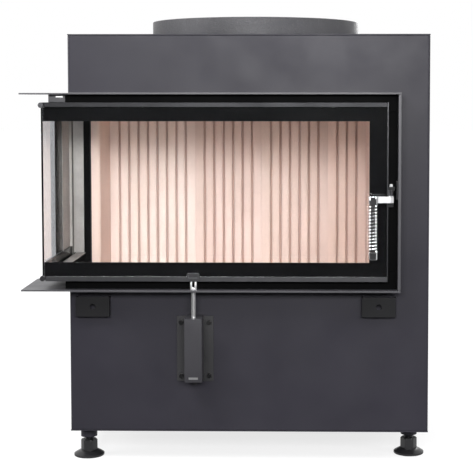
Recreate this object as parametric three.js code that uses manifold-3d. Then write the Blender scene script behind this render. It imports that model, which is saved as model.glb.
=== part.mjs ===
// A built-in corner fireplace insert: a sheet steel casing on four levelling feet, a firebox lined with
// fluted fireclay, an L-shaped glass door hung at its rear left end, and an air control below it.
// Millimetres, +Z up, the front faces -Y. While it is built, X = 0 is the casing's left face, Y = 0 the
// front edge of the surround and Z = 0 the floor. The finished group is centred on its own footprint.

import * as THREE from 'three';
import { mergeVertices } from 'three/addons/utils/BufferGeometryUtils.js';
import { ConvexGeometry } from 'three/addons/geometries/ConvexGeometry.js';
import Module from 'manifold-3d';

const wasm = await Module();
wasm.setup();

// ---------------------------------------------------------------- driving sizes

const SEAT = 0.3; // gap that two pieces keep where one rests on the other
const PAST = 1; // a cut runs this far past the face it opens, and a welded part this far into the other
const WELD = 1e-4; // corners closer than this are one corner
const RUN = 0.4; // radial running gap of a pin in its hole

// Sides of round pieces
const SIDES_COLLAR = 64;
const SIDES_WIDE = 32;
const SIDES_ROUND = 20;
const SIDES_SLIM = 16;
const SIDES_ROPE = 8;
const SIDES_HEX = 6;

// Casing
const CASING_WIDTH = 900;
const CASING_HEIGHT = 997;
const CASING_DEPTH = 600;
const SHEET = 3;
const CASING_BEND = 7; // outer radius of the front sheet's folded edges
const FRONT_RETURN = 34; // how far the front sheet runs back round each side
const BASE_HEIGHT = 78; // floor to the underside of the casing

// Surround, the flat frame that the wall lining runs up to
const SURROUND_DEPTH = 60;
const SURROUND_PLATE = 5;
const SURROUND_SIDE = 7;
const WING_REACH = 109; // the wings stand out this far to the left of the casing
const WING_DEPTH = 195;
const WING_SHEET = 3.6;
const WING_LAP = 12; // where wing and surround meet, right of the casing's left face

// Door
const DOOR_BOTTOM = 466;
const DOOR_HEIGHT = 440;
const DOOR_WIDTH = 848;
const DOOR_OVERHANG = 57; // the side pane stands this far outside the casing
const DOOR_FRONT = 10; // the front pane's face, behind the surround's edge
const DOOR_GAP_TOP = 19.6;
const DOOR_GAP_BOTTOM = 21.2;
const DOOR_GAP_RIGHT = 24; // from the door's edge strip to the surround
const GLASS = 4;
const RAIL_HEIGHT = 11.5;
const RAIL_DEPTH = 9;
const TUBE_RADIUS = 6.8; // the round rails along the side pane
const TUBE_OUT = 1; // their axis stands this far outside the middle of the side pane
const TUBE_PROUD = 2; // and their ends this far in front of the straight rails
const BORDER = 46; // black border above and below the clear window
const BORDER_RIGHT = 43;
const BAR = 6; // steel bars behind the glass
const STILE = 23; // width of the upright bar at the rear of the side pane
const SEAL = 5.4; // rope seal, pressed between bars and frame
const SEAL_LINE = 11.5; // the rope lies this far inside the door's edge
const BORDER_LAP = 23; // the fixed frame reaches this far over the door's border
const EDGE_STRIP = 2.6;

// Hinge, at the rear end of the side pane
const HINGE_BACK = 364; // hinge axis behind the surround's edge
const HINGE_BLOCK = 8; // the door's block reaches this far round the axis
const HINGE_BLOCK_HEIGHT = 22;
const HINGE_PIN_RADIUS = 5;
const HINGE_PLATE = 6;
const HINGE_PIN_REACH = 16; // how deep a pin stands in its block
const HINGE_CLEAR = 2; // from the rope behind the hinge to the post

// Fixed frame that the door shuts against
const FRAME_FACE = 35; // height of the sill and the header, and width of the jamb
const FRAME_WALL = 3;
const SIDE_LEDGE = 27; // width of the ledge inside the side pane
const POST_STEP = 4;
const POST_DEPTH = 22;

// Fireclay lining
const BRICK = 30; // plates at the back
const SIDE_BRICK = 24;
const HEARTH_BRICK = 32;
const HEARTH_TOP = 405;
const HEARTH_COUNT = 2;
const BRICK_TOP = 868;
const RIB_PITCH = 27.4;
const GROOVE_WIDTH = 5;
const GROOVE_DEPTH = 7;
const GROOVE_LEAN = 1.2; // each groove wall leans out this much
const BACK_RIBS = [9, 7, 7, 4]; // ribs on each back plate, from the left
const CHAMBER_BACK = 560; // face of the back plates behind the surround's edge
const BRICK_ROUND = 9;
const SLOPE_LEFT = 58; // width of the sloping brick on the left
const SLOPE_FRONT = 50;
const SLOPE_TOP_LEFT = 452;
const SLOPE_TOP_FRONT = 484;
const SLOPE_TOE = 8;
const BAFFLE = 26;
const BAFFLE_FRONT = 300;

// Smoke way and flue
const FIREBOX_PLATE = 4;
const SMOKE_WIDTH = 380;
const SMOKE_DEPTH = 130;
const SMOKE_BACK = 60; // from the smoke opening to the lining's back
const FLUE_RADIUS = 100;
const FLUE_SHIFT = 7; // flue and collar stand this far right of the casing's middle
const FLUE_WALL = 2.5;
const FLUE_RISE = 38;
const COLLAR_RADIUS = 277;
const COLLAR_HEIGHT = 44;
const COLLAR_WALL = 5;
const COLLAR_FLOOR = 14; // the collar's plate lies this far above the casing
const COLLAR_PLATE = 3;
const AIR_SPIGOT_RADIUS = 62.5;
const AIR_SPIGOT_DROP = 40;
const AIR_SPIGOT_WALL = 2;

// Facing brackets under the surround
const BRACKET_WIDTH = 84;
const BRACKET_HEIGHT = 50;
const BRACKET_STAND = 20;
const BRACKET_SHEET = 4;
const BRACKET_HOLE = 6.9;
const BRACKET_TOP = 422;
const BRACKET_IN_LEFT = 61; // bracket centres in from the casing's sides
const BRACKET_IN_RIGHT = 126;

// Air control
const AIR_X = 315.5; // spindle axis from the casing's left face
const AIR_Y = 15; // spindle axis behind the surround's edge
const AIR_ROD_RADIUS = 5.6;
const FORK_WIDTH = 15.7;
const FORK_HEIGHT = 19;
const FORK_SLOT = 6.5;
const FORK_DEPTH = 12;
const COVER_WIDTH = 42.5;
const COVER_TOP = 375;
const COVER_HEIGHT = 159;
const COVER_SHEET = 2;
const COVER_SLOPE = 7; // the cover's face leans back at its foot
const AIR_PLATE_WIDTH = 92;
const AIR_PLATE = 3;
const AIR_PLATE_MARGIN = 9;
const AIR_SLOT_WIDTH = 22;
const AIR_SLOT_HEIGHT = 100;
const FLAP_GAP = 1.2; // running gap of the flap inside its cover
const FLAP_HEIGHT = 115;
const FLAP_SHEET = 2;
const FLAP_HUB = 8; // the rod ends this far below the flap
const FLAP_EYE = 2.5; // wall of the flap's sleeve on the rod
const BOLT_SPREAD = 70;
const BOLT_RISE = 135;
const BOLT_HEX = 6.5; // bolt head, half across its corners
const BOLT_HEAD = 5;
const BOLT_TOP = 19; // first bolts below the cover's top

// Pull loop on the door's lower rail
const LOOP_WIDTH = 31;
const LOOP_HEIGHT = 16;
const LOOP_BAR = 4.5;
const LOOP_DEPTH = 5;
const LOOP_BOTTOM = 471;

// Handle
const HANDLE_PIN_RADIUS = 4;
const HANDLE_OFFSET = 7; // handle axis right of the edge strip
const HANDLE_Y = 2;
const ARM_HEIGHT = 15.4;
const ARM_THICK = 8;
const ARM_TOP = 679;
const EYE_RADIUS = 6.5;
const KNUCKLE_RADIUS = 5.5;
const GRIP_X = 46; // grip axis left of the handle axis
const GRIP_Y = 32; // and in front of it
const GRIP_RADIUS = 11.5;
const GRIP_BLOCK = 19.7;
const GRIP_ABOVE = 1; // the grip's block stands this far above the arm
const GRIP_CHAMFER = 1.5;
const GRIP_CAP = 17.7;
const SPRING_LENGTH = 116.6;
const SPRING_CURLS = 14;
const SPRING_WIRE = 2.5; // wire radius
const SPRING_STEPS = 8;
const SPRING_SIDES = 5;
const KNUCKLE_HEIGHT = 12;
const PIN_RISE = 28; // the handle's pin ends this far above its arm
const CAM_REACH = 8.7;
const CAM_TIP = 1.5; // half the width of the cam's nose
const CAM_SPREAD = 0.7; // half the angle, in radians, that the nose takes of its eye
const CAM_HEIGHT = 9;
const KEEPER_THICK = 4;
const KEEPER_HEIGHT = 46;
const KEEPER_DEPTH = 22;

// Levelling feet
const PAD_RADIUS = 38.5;
const PAD_RIM = 5;
const PAD_DOME = 14;
const PAD_EDGE = 1; // chamfer under the pad's rim
const PAD_SHOULDER = 0.62; // where the dome bends: share of the radius and of the rise
const PAD_SHOULDER_RISE = 0.6;
const PAD_NECK = 0.8; // the dome meets the hexagon at this share of its size
const FOOT_HEX = 21.4; // half across the corners
const FOOT_HEX_TOP = 41;
const SCREW_RADIUS = 10.8;
const BOSS_RADIUS = 21;
const BOSS_HEIGHT = 28;
const SCREW_TOP = 112;
const FOOT_IN_LEFT = 36; // foot axes in from the casing's sides
const FOOT_IN_RIGHT = 40.5;
const FOOT_BEHIND_LEFT = 60; // front feet behind the casing's front face
const FOOT_BEHIND_RIGHT = 93;
const FOOT_BEFORE_BACK = 60;

// ---------------------------------------------------------------- places worked out from the sizes

const casingFront = SURROUND_DEPTH;
const casingBack = casingFront + CASING_DEPTH;
const casingTop = BASE_HEIGHT + CASING_HEIGHT;
const doorTop = DOOR_BOTTOM + DOOR_HEIGHT;
const doorLeft = -DOOR_OVERHANG;
const doorRight = doorLeft + DOOR_WIDTH;
const glassBack = DOOR_FRONT + GLASS;
const barFront = glassBack + SEAT;
const barBack = barFront + BAR;
const sealBack = barBack + SEAL;
const frameFront = sealBack + SEAT; // the fixed frame's front face
const sideBarLeft = doorLeft + GLASS + SEAT;
const sideBarRight = sideBarLeft + BAR;
const frameLeft = sideBarRight + SEAL + SEAT; // the fixed frame's outer face on the side
const surroundUnder = doorTop + DOOR_GAP_TOP; // underside of the top plate
const surroundFloor = DOOR_BOTTOM - DOOR_GAP_BOTTOM; // upper side of the bottom plate
const surroundInner = doorRight + EDGE_STRIP + DOOR_GAP_RIGHT;
const surroundRight = surroundInner + SURROUND_SIDE;
const windowBottom = DOOR_BOTTOM + BORDER;
const windowTop = doorTop - BORDER;
const windowRight = doorRight - BORDER_RIGHT;
const sillTop = windowBottom - BORDER_LAP;
const headerUnder = windowTop + BORDER_LAP;
const jambLeft = windowRight + BORDER_LAP;
const hingeX = sideBarLeft;
const postFront = HINGE_BACK + HINGE_BLOCK + SEAL + HINGE_CLEAR;
const ledgeRight = frameLeft + SIDE_LEDGE;
const liningLeft = SHEET + SEAT + SIDE_BRICK; // inner face of the left brick
const liningWidth = BACK_RIBS.reduce((sum, count) => sum + count, 0) * RIB_PITCH;
const liningRight = liningLeft + liningWidth;
const brickRight = liningRight + SIDE_BRICK;
const brickFront = casingFront + SHEET + SEAT;
const brickBack = CHAMBER_BACK + BRICK;
const hearthUnder = HEARTH_TOP - HEARTH_BRICK;
const fireboxBack = brickBack + SEAT + FIREBOX_PLATE;
const fireboxRight = brickRight + SEAT + FIREBOX_PLATE;
const flueX = CASING_WIDTH / 2 + FLUE_SHIFT;
const flueY = casingFront + CASING_DEPTH / 2;
const notchBottom = surroundFloor + FRAME_WALL + SEAT;
const notchTop = surroundUnder - FRAME_WALL - SEAT;
const handleX = doorRight + EDGE_STRIP + HANDLE_OFFSET;

// ---------------------------------------------------------------- finishes

function finish(color, roughness, metalness, extra = {}) {
  return () => new THREE.MeshStandardMaterial({ color, roughness, metalness, ...extra });
}

const casingPaint = finish(0x3c3e42, 0.62, 0.35);
const surroundPaint = finish(0x4a4c50, 0.5, 0.4);
const blackPaint = finish(0x161617, 0.45, 0.3);
const steel = finish(0x6d6e70, 0.45, 0.8);
const chrome = finish(0xd8dadc, 0.12, 1.0);
const fireclay = finish(0xdcc3b4, 0.9, 0.0);
const vermiculite = finish(0xc9b48f, 0.95, 0.0);
const rope = finish(0x5d5a55, 1.0, 0.0);
const rubber = finish(0x222222, 0.8, 0.0);
const clearGlass = finish(0xdfe8e6, 0.03, 0.0, { transparent: true, opacity: 0.25 });

// ---------------------------------------------------------------- shapes

// Keeps only the positions, welds the seams and turns the faces outwards.
function closed(geometry) {
  geometry.deleteAttribute('normal');
  geometry.deleteAttribute('uv');
  const welded = mergeVertices(geometry, WELD);
  const corner = [new THREE.Vector3(), new THREE.Vector3(), new THREE.Vector3()];
  const { index } = welded;
  const { position } = welded.attributes;
  let volume = 0;
  for (let i = 0; i < index.count; i += 3) {
    corner.forEach((point, k) => point.fromBufferAttribute(position, index.getX(i + k)));
    volume += corner[0].dot(corner[1].cross(corner[2]));
  }
  if (volume < 0) {
    for (let i = 0; i < index.count; i += 3) {
      const swap = index.getX(i);
      index.setX(i, index.getX(i + 1));
      index.setX(i + 1, swap);
    }
  }
  return welded;
}

function toManifold(geometry) {
  const { position } = geometry.attributes;
  return new wasm.Manifold(new wasm.Mesh({
    numProp: 3,
    vertProperties: new Float32Array(position.array),
    triVerts: new Uint32Array(geometry.index.array),
  }));
}

function fromManifold(body) {
  const mesh = body.getMesh();
  const geometry = new THREE.BufferGeometry();
  geometry.setAttribute('position', new THREE.BufferAttribute(mesh.vertProperties, 3));
  geometry.setIndex(new THREE.BufferAttribute(mesh.triVerts, 1));
  return geometry;
}

function cut(geometry, ...tools) {
  return fromManifold(tools.reduce((body, tool) => body.subtract(toManifold(tool)), toManifold(geometry)));
}

function join(geometry, ...others) {
  return fromManifold(others.reduce((body, other) => body.add(toManifold(other)), toManifold(geometry)));
}

function box(x0, x1, y0, y1, z0, z1) {
  const geometry = new THREE.BoxGeometry(x1 - x0, y1 - y0, z1 - z0);
  geometry.translate((x0 + x1) / 2, (y0 + y1) / 2, (z0 + z1) / 2);
  return closed(geometry);
}

function outline(points) {
  return new THREE.Shape(points.map(([u, v]) => new THREE.Vector2(u, v)));
}

function extrude(shape, length, curveSegments = 6) {
  return new THREE.ExtrudeGeometry(shape, { depth: length, bevelEnabled: false, curveSegments });
}

// A shape drawn in plan (x, y) and raised from z0 to z1.
function raise(shape, z0, z1, curveSegments) {
  return closed(extrude(shape, z1 - z0, curveSegments).translate(0, 0, z0));
}

// A section drawn as (y, z) and drawn out from x0 to x1.
function alongX(shape, x0, x1, curveSegments) {
  const turn = new THREE.Matrix4().makeBasis(
    new THREE.Vector3(0, 1, 0),
    new THREE.Vector3(0, 0, 1),
    new THREE.Vector3(1, 0, 0),
  );
  return closed(extrude(shape, x1 - x0, curveSegments).applyMatrix4(turn).translate(x0, 0, 0));
}

// A section drawn as (x, z) and drawn out from y0 to y1.
function alongY(shape, y0, y1, curveSegments) {
  const turn = new THREE.Matrix4().makeBasis(
    new THREE.Vector3(1, 0, 0),
    new THREE.Vector3(0, 0, 1),
    new THREE.Vector3(0, -1, 0),
  );
  return closed(extrude(shape, y1 - y0, curveSegments).applyMatrix4(turn).translate(0, y1, 0));
}

// A profile of [radius, height] points turned about the vertical axis.
function turn(profile, sides = SIDES_WIDE) {
  const points = profile.map(([radius, height]) => new THREE.Vector2(radius, height));
  return closed(new THREE.LatheGeometry(points, sides).rotateX(Math.PI / 2));
}

function post(radius, z0, z1, sides = SIDES_SLIM) {
  return turn([[0, z0], [radius, z0], [radius, z1], [0, z1]], sides);
}

// Round bar along Y from y0 to y1, centred on x and z.
function barY(radius, x, z, y0, y1, sides = SIDES_SLIM) {
  return post(radius, y0, y1, sides).rotateX(-Math.PI / 2).translate(x, 0, z);
}

function barX(radius, y, z, x0, x1, sides = SIDES_SLIM) {
  return post(radius, x0, x1, sides).rotateY(Math.PI / 2).translate(0, y, z);
}

function piece(group, name, geometry, material) {
  const mesh = new THREE.Mesh(geometry, material());
  mesh.name = name;
  group.add(mesh);
  return mesh;
}

function groupAt(parent, x, y, z) {
  const group = new THREE.Group();
  group.position.set(x, y, z);
  parent.add(group);
  return group;
}

// ---------------------------------------------------------------- casing

// Plan of the front sheet: it folds back round both sides.
function frontSheetPlan() {
  const plan = new THREE.Shape();
  const back = casingFront + FRONT_RETURN;
  const inner = CASING_BEND - SHEET;
  const left = CASING_BEND;
  const right = CASING_WIDTH - CASING_BEND;
  const y = casingFront + CASING_BEND;
  plan.moveTo(0, back);
  plan.lineTo(0, y);
  plan.absarc(left, y, CASING_BEND, Math.PI, 1.5 * Math.PI, false);
  plan.lineTo(right, casingFront);
  plan.absarc(right, y, CASING_BEND, 1.5 * Math.PI, 2 * Math.PI, false);
  plan.lineTo(CASING_WIDTH, back);
  plan.lineTo(CASING_WIDTH - SHEET, back);
  plan.lineTo(CASING_WIDTH - SHEET, y);
  plan.absarc(right, y, inner, 2 * Math.PI, 1.5 * Math.PI, true);
  plan.lineTo(left, casingFront + SHEET);
  plan.absarc(left, y, inner, 1.5 * Math.PI, Math.PI, true);
  plan.lineTo(SHEET, back);
  plan.closePath();
  return plan;
}

function airSlot(y0, y1) {
  const middle = COVER_TOP - COVER_HEIGHT / 2;
  return box(AIR_X - AIR_SLOT_WIDTH / 2, AIR_X + AIR_SLOT_WIDTH / 2, y0, y1,
    middle - AIR_SLOT_HEIGHT / 2, middle + AIR_SLOT_HEIGHT / 2);
}

function buildCasing(root) {
  const group = groupAt(root, 0, 0, 0);
  const sideFront = casingFront + FRONT_RETURN + SEAT;
  const sideBack = casingBack - SHEET - SEAT;
  const inTop = casingTop - SHEET - SEAT;
  const inBase = BASE_HEIGHT + SHEET + SEAT;
  const fireOpening = box(-SHEET, jambLeft + FRAME_FACE / 2, casingFront - PAST, postFront,
    notchBottom, notchTop);
  const frontSlot = airSlot(casingFront - PAST, casingFront + SHEET + PAST);

  piece(group, 'casing_front',
    cut(raise(frontSheetPlan(), inBase, inTop), fireOpening, frontSlot),
    casingPaint);
  piece(group, 'casing_left',
    cut(box(0, SHEET, sideFront, sideBack, inBase, inTop), fireOpening), casingPaint);
  piece(group, 'casing_right',
    box(CASING_WIDTH - SHEET, CASING_WIDTH, sideFront, sideBack, inBase, inTop), casingPaint);
  piece(group, 'casing_back', box(0, CASING_WIDTH, sideBack + SEAT, casingBack, inBase, inTop), casingPaint);

  const lid = box(0, CASING_WIDTH, casingFront, casingBack, casingTop - SHEET, casingTop);
  const flueHole = post(FLUE_RADIUS + SEAT, casingTop - SHEET - PAST, casingTop + PAST, SIDES_WIDE);
  piece(group, 'casing_top', cut(lid, flueHole.translate(flueX, flueY, 0)), casingPaint);

  let base = box(0, CASING_WIDTH, casingFront, casingBack, BASE_HEIGHT, BASE_HEIGHT + SHEET);
  for (const [x, y] of footPlaces()) {
    const boss = post(BOSS_RADIUS, BASE_HEIGHT - BOSS_HEIGHT, BASE_HEIGHT + PAST, SIDES_ROUND);
    base = join(base, boss.translate(x, y, 0));
    base = cut(base, post(SCREW_RADIUS + RUN, 0, casingTop, SIDES_SLIM).translate(x, y, 0));
  }
  const spigot = post(AIR_SPIGOT_RADIUS, BASE_HEIGHT - AIR_SPIGOT_DROP, BASE_HEIGHT + PAST, SIDES_WIDE);
  const airWay = post(AIR_SPIGOT_RADIUS - AIR_SPIGOT_WALL, 0, casingTop, SIDES_WIDE);
  base = join(base, spigot.translate(flueX, flueY, 0));
  piece(group, 'casing_base', cut(base, airWay.translate(flueX, flueY, 0)), casingPaint);
}

function footPlaces() {
  return [
    [FOOT_IN_LEFT, casingFront + FOOT_BEHIND_LEFT],
    [CASING_WIDTH - FOOT_IN_RIGHT, casingFront + FOOT_BEHIND_RIGHT],
    [FOOT_IN_LEFT, casingBack - FOOT_BEFORE_BACK],
    [CASING_WIDTH - FOOT_IN_RIGHT, casingBack - FOOT_BEFORE_BACK],
  ];
}

// ---------------------------------------------------------------- firebox and lining

function buildFirebox(root) {
  const group = groupAt(root, 0, 0, 0);
  const left = CASING_BEND;
  const front = casingFront + SHEET + SEAT;
  const ceiling = notchTop - SEAT;
  piece(group, 'firebox_floor', join(
    box(left, fireboxRight, front, fireboxBack, hearthUnder - SEAT - FIREBOX_PLATE, hearthUnder - SEAT),
    box(left, left + SHEET, front, fireboxBack, BASE_HEIGHT + SHEET + SEAT, hearthUnder - SEAT - PAST),
    box(fireboxRight - SHEET, fireboxRight, front, fireboxBack,
      BASE_HEIGHT + SHEET + SEAT, hearthUnder - SEAT - PAST),
  ), steel);
  piece(group, 'firebox_back', box(left, fireboxRight, fireboxBack - FIREBOX_PLATE, fireboxBack,
    hearthUnder, ceiling - FIREBOX_PLATE - SEAT), steel);
  piece(group, 'firebox_right', box(fireboxRight - FIREBOX_PLATE, fireboxRight, front,
    fireboxBack - FIREBOX_PLATE - SEAT, hearthUnder, ceiling - FIREBOX_PLATE - SEAT), steel);

  const smokeY = brickBack - SMOKE_BACK - SMOKE_DEPTH;
  const smokeLeft = flueX - SMOKE_WIDTH / 2;
  const smokeRight = flueX + SMOKE_WIDTH / 2;
  piece(group, 'firebox_ceiling', cut(
    join(
      box(left, fireboxRight, front, fireboxBack, ceiling - FIREBOX_PLATE, ceiling),
      box(ledgeRight + SEAT, left + PAST, front, postFront - SEAT, ceiling - FIREBOX_PLATE, ceiling),
    ),
    box(smokeLeft, smokeRight, smokeY, smokeY + SMOKE_DEPTH, ceiling - FIREBOX_PLATE - PAST, ceiling + PAST),
  ), steel);

  // The hood narrows from the rectangular smoke opening to the round flue.
  const hoodBottom = ceiling + SEAT;
  const hoodTop = casingTop - SHEET - SEAT;
  const outer = hoodShell(smokeLeft, smokeRight, smokeY, hoodBottom, hoodTop, 0, 0);
  const inner = hoodShell(smokeLeft, smokeRight, smokeY, hoodBottom, hoodTop, FLUE_WALL, PAST);
  const spigot = post(FLUE_RADIUS, hoodTop - PAST, casingTop + FLUE_RISE, SIDES_WIDE);
  const flueWay = post(FLUE_RADIUS - FLUE_WALL, hoodTop - PAST, casingTop + FLUE_RISE + PAST, SIDES_WIDE);
  piece(group, 'flue_hood', cut(join(outer, spigot.translate(flueX, flueY, 0)), inner,
    flueWay.translate(flueX, flueY, 0)), steel);

  const floor = casingTop + COLLAR_FLOOR;
  const rim = COLLAR_RADIUS - COLLAR_WALL;
  const throat = FLUE_RADIUS + SEAT;
  const collar = turn([
    [COLLAR_RADIUS, casingTop + SEAT],
    [COLLAR_RADIUS, casingTop + COLLAR_HEIGHT],
    [rim, casingTop + COLLAR_HEIGHT],
    [rim, floor + COLLAR_PLATE],
    [throat, floor + COLLAR_PLATE],
    [throat, floor],
    [rim, floor],
    [rim, casingTop + SEAT],
    [COLLAR_RADIUS, casingTop + SEAT],
  ], SIDES_COLLAR);
  piece(group, 'collar_ring', collar.translate(flueX, flueY, 0), casingPaint);
}

function hoodShell(x0, x1, y0, z0, z1, inset, past) {
  const points = [];
  const low = z0 - past;
  for (const x of [x0 + inset, x1 - inset]) {
    for (const y of [y0 + inset, y0 + SMOKE_DEPTH - inset]) {
      points.push(new THREE.Vector3(x, y, low), new THREE.Vector3(x, y, z0));
    }
  }
  for (let i = 0; i < SIDES_WIDE; i += 1) {
    const angle = (i * 2 * Math.PI) / SIDES_WIDE;
    const x = flueX + (FLUE_RADIUS - inset) * Math.cos(angle);
    const y = flueY + (FLUE_RADIUS - inset) * Math.sin(angle);
    points.push(new THREE.Vector3(x, y, z1), new THREE.Vector3(x, y, z1 + past));
  }
  return closed(new ConvexGeometry(points));
}

// Plan of a fluted plate: its face looks to -Y, with one groove in front of every joint between ribs.
function flutedPlan(x0, ribs, y0) {
  const width = ribs * RIB_PITCH - SEAT;
  const points = [[x0, y0 + BRICK], [x0, y0]];
  for (let rib = 1; rib < ribs; rib += 1) {
    const middle = x0 + rib * RIB_PITCH;
    const half = GROOVE_WIDTH / 2;
    points.push(
      [middle - half - GROOVE_LEAN, y0],
      [middle - half, y0 + GROOVE_DEPTH],
      [middle + half, y0 + GROOVE_DEPTH],
      [middle + half + GROOVE_LEAN, y0],
    );
  }
  points.push([x0 + width, y0], [x0 + width, y0 + BRICK]);
  return outline(points);
}

function buildLining(root) {
  const group = groupAt(root, 0, 0, 0);
  const left = SHEET + FIREBOX_PLATE + SEAT;
  const standing = HEARTH_TOP + SEAT;
  const back = brickBack - SEAT;

  const hearthWidth = (brickRight - left) / HEARTH_COUNT;
  for (let i = 0; i < HEARTH_COUNT; i += 1) {
    const x = left + i * hearthWidth;
    piece(group, `hearth_brick_${i + 1}`,
      box(x, x + hearthWidth - SEAT, brickFront, back, hearthUnder, HEARTH_TOP), fireclay);
  }

  let x = liningLeft + SEAT;
  BACK_RIBS.forEach((ribs, i) => {
    piece(group, `back_brick_${i + 1}`,
      raise(flutedPlan(x, ribs, CHAMBER_BACK), standing, BRICK_TOP), fireclay);
    x += ribs * RIB_PITCH;
  });

  const leftPlan = new THREE.Shape();
  leftPlan.moveTo(SHEET + SEAT, back);
  leftPlan.lineTo(SHEET + SEAT, postFront);
  leftPlan.lineTo(liningLeft - BRICK_ROUND, postFront);
  leftPlan.absarc(liningLeft - BRICK_ROUND, postFront + BRICK_ROUND, BRICK_ROUND,
    1.5 * Math.PI, 2 * Math.PI, false);
  leftPlan.lineTo(liningLeft, back);
  leftPlan.closePath();
  piece(group, 'left_brick', raise(leftPlan, standing, BRICK_TOP), fireclay);

  piece(group, 'right_brick',
    box(liningRight + SEAT, brickRight, brickFront, back, standing, BRICK_TOP), fireclay);

  // Two sloping bricks make the hearth a shallow tub.
  const slopeStart = SHEET + FIREBOX_PLATE + SEAT;
  piece(group, 'hearth_slope_left', alongY(outline([
    [slopeStart, standing],
    [slopeStart + SLOPE_LEFT, standing],
    [slopeStart + SLOPE_LEFT, standing + SLOPE_TOE],
    [slopeStart, SLOPE_TOP_LEFT],
  ]), brickFront + SLOPE_FRONT + SEAT, postFront - SEAT), fireclay);
  piece(group, 'hearth_slope_front', alongX(outline([
    [brickFront, standing],
    [brickFront + SLOPE_FRONT, standing],
    [brickFront + SLOPE_FRONT, standing + SLOPE_TOE],
    [brickFront, SLOPE_TOP_FRONT],
  ]), slopeStart, liningRight), fireclay);

  piece(group, 'baffle_brick',
    box(SHEET + SEAT, brickRight, BAFFLE_FRONT, back, BRICK_TOP + SEAT, BRICK_TOP + SEAT + BAFFLE),
    vermiculite);
}

// ---------------------------------------------------------------- fixed frame and surround

// A channel open to the rear: drawn from its front face at u0, to u1, between v0 and v1.
function channel(u0, u1, v0, v1) {
  return outline([
    [u0, v0], [u1, v0], [u1, v0 + FRAME_WALL], [u0 + FRAME_WALL, v0 + FRAME_WALL],
    [u0 + FRAME_WALL, v1 - FRAME_WALL], [u1, v1 - FRAME_WALL], [u1, v1], [u0, v1],
  ]);
}

function buildFrame(root) {
  const group = groupAt(root, 0, 0, 0);
  const right = surroundInner - SEAT;
  const rear = casingFront - SEAT;
  const postBack = postFront + POST_DEPTH;
  const sillUnder = surroundFloor + SEAT;
  const headerTop = surroundUnder - SEAT;

  // Sill and header run round the corner, and a flange closes them to the casing's left face.
  // Below the door the sill steps back to that face, so the lower wing stays open there.
  const flange = (z) => box(frameLeft + PAST, -SEAT, rear - PAST, postFront - SEAT, z, z + FRAME_WALL);
  const riserLeft = -SEAT - FRAME_WALL;
  piece(group, 'frame_sill', join(
    alongX(channel(frameFront, rear, sillUnder, sillTop), riserLeft, right),
    alongX(channel(frameFront, rear, DOOR_BOTTOM, sillTop), frameLeft, riserLeft + PAST),
    alongY(channel(frameLeft, ledgeRight, DOOR_BOTTOM, sillTop), rear - PAST, postFront - SEAT),
    flange(DOOR_BOTTOM),
    box(riserLeft, -SEAT, rear - PAST, postFront - SEAT, sillUnder, DOOR_BOTTOM + PAST),
  ), blackPaint);
  piece(group, 'frame_header', join(
    alongX(channel(frameFront, rear, headerUnder, headerTop), frameLeft, right),
    alongY(channel(frameLeft, ledgeRight, headerUnder, headerTop), rear - PAST, postFront - SEAT),
    flange(headerTop - FRAME_WALL),
  ), blackPaint);
  piece(group, 'frame_jamb',
    box(jambLeft, right, frameFront, rear, sillTop + SEAT, headerUnder - SEAT), blackPaint);

  const step = frameLeft + SIDE_LEDGE - POST_STEP;
  piece(group, 'frame_post', raise(outline([
    [doorLeft, postFront + POST_STEP],
    [step, postFront + POST_STEP],
    [step, postFront + 2 * POST_STEP],
    [step + POST_STEP, postFront + 2 * POST_STEP],
    [step + POST_STEP, postFront],
    [-SEAT, postFront],
    [-SEAT, postBack],
    [doorLeft, postBack],
  ]), sillUnder, headerTop), blackPaint);

  const topUnder = surroundUnder;
  piece(group, 'surround_top',
    box(WING_LAP + SEAT, surroundRight, 0, rear, topUnder, topUnder + SURROUND_PLATE), surroundPaint);
  const plateBottom = surroundFloor - SURROUND_PLATE;
  const rodHole = post(AIR_ROD_RADIUS + RUN, plateBottom - PAST, surroundFloor + PAST, SIDES_SLIM);
  piece(group, 'surround_bottom', cut(
    box(WING_LAP + SEAT, surroundRight, 0, rear, plateBottom, surroundFloor),
    rodHole.translate(AIR_X, AIR_Y, 0),
  ), surroundPaint);
  piece(group, 'surround_side',
    box(surroundInner, surroundRight, 0, rear, surroundFloor + SEAT, surroundUnder - SEAT), surroundPaint);

  const wingPlan = outline([
    [-WING_REACH, 0], [WING_LAP, 0], [WING_LAP, rear], [-SEAT, rear], [-SEAT, WING_DEPTH],
    [-WING_REACH, WING_DEPTH],
  ]);
  piece(group, 'wing_top', raise(wingPlan, topUnder, topUnder + WING_SHEET), surroundPaint);
  piece(group, 'wing_bottom', raise(wingPlan, surroundFloor - WING_SHEET, surroundFloor), surroundPaint);

  piece(group, 'facing_bracket_left', facingBracket(BRACKET_IN_LEFT), casingPaint);
  piece(group, 'facing_bracket_right', facingBracket(CASING_WIDTH - BRACKET_IN_RIGHT), casingPaint);
}

// A hat-shaped bracket: two legs stand on the casing and carry a face with one hole.
function facingBracket(x) {
  const half = BRACKET_WIDTH / 2;
  const back = casingFront - SEAT;
  const face = back - BRACKET_STAND;
  const hat = raise(outline([
    [x - half, back], [x - half, face], [x + half, face], [x + half, back],
    [x + half - BRACKET_SHEET, back], [x + half - BRACKET_SHEET, face + BRACKET_SHEET],
    [x - half + BRACKET_SHEET, face + BRACKET_SHEET], [x - half + BRACKET_SHEET, back],
  ]), BRACKET_TOP - BRACKET_HEIGHT, BRACKET_TOP);
  return cut(hat, barY(BRACKET_HOLE, x, BRACKET_TOP - BRACKET_HEIGHT / 2, face - PAST, back + PAST));
}

// ---------------------------------------------------------------- door

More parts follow.
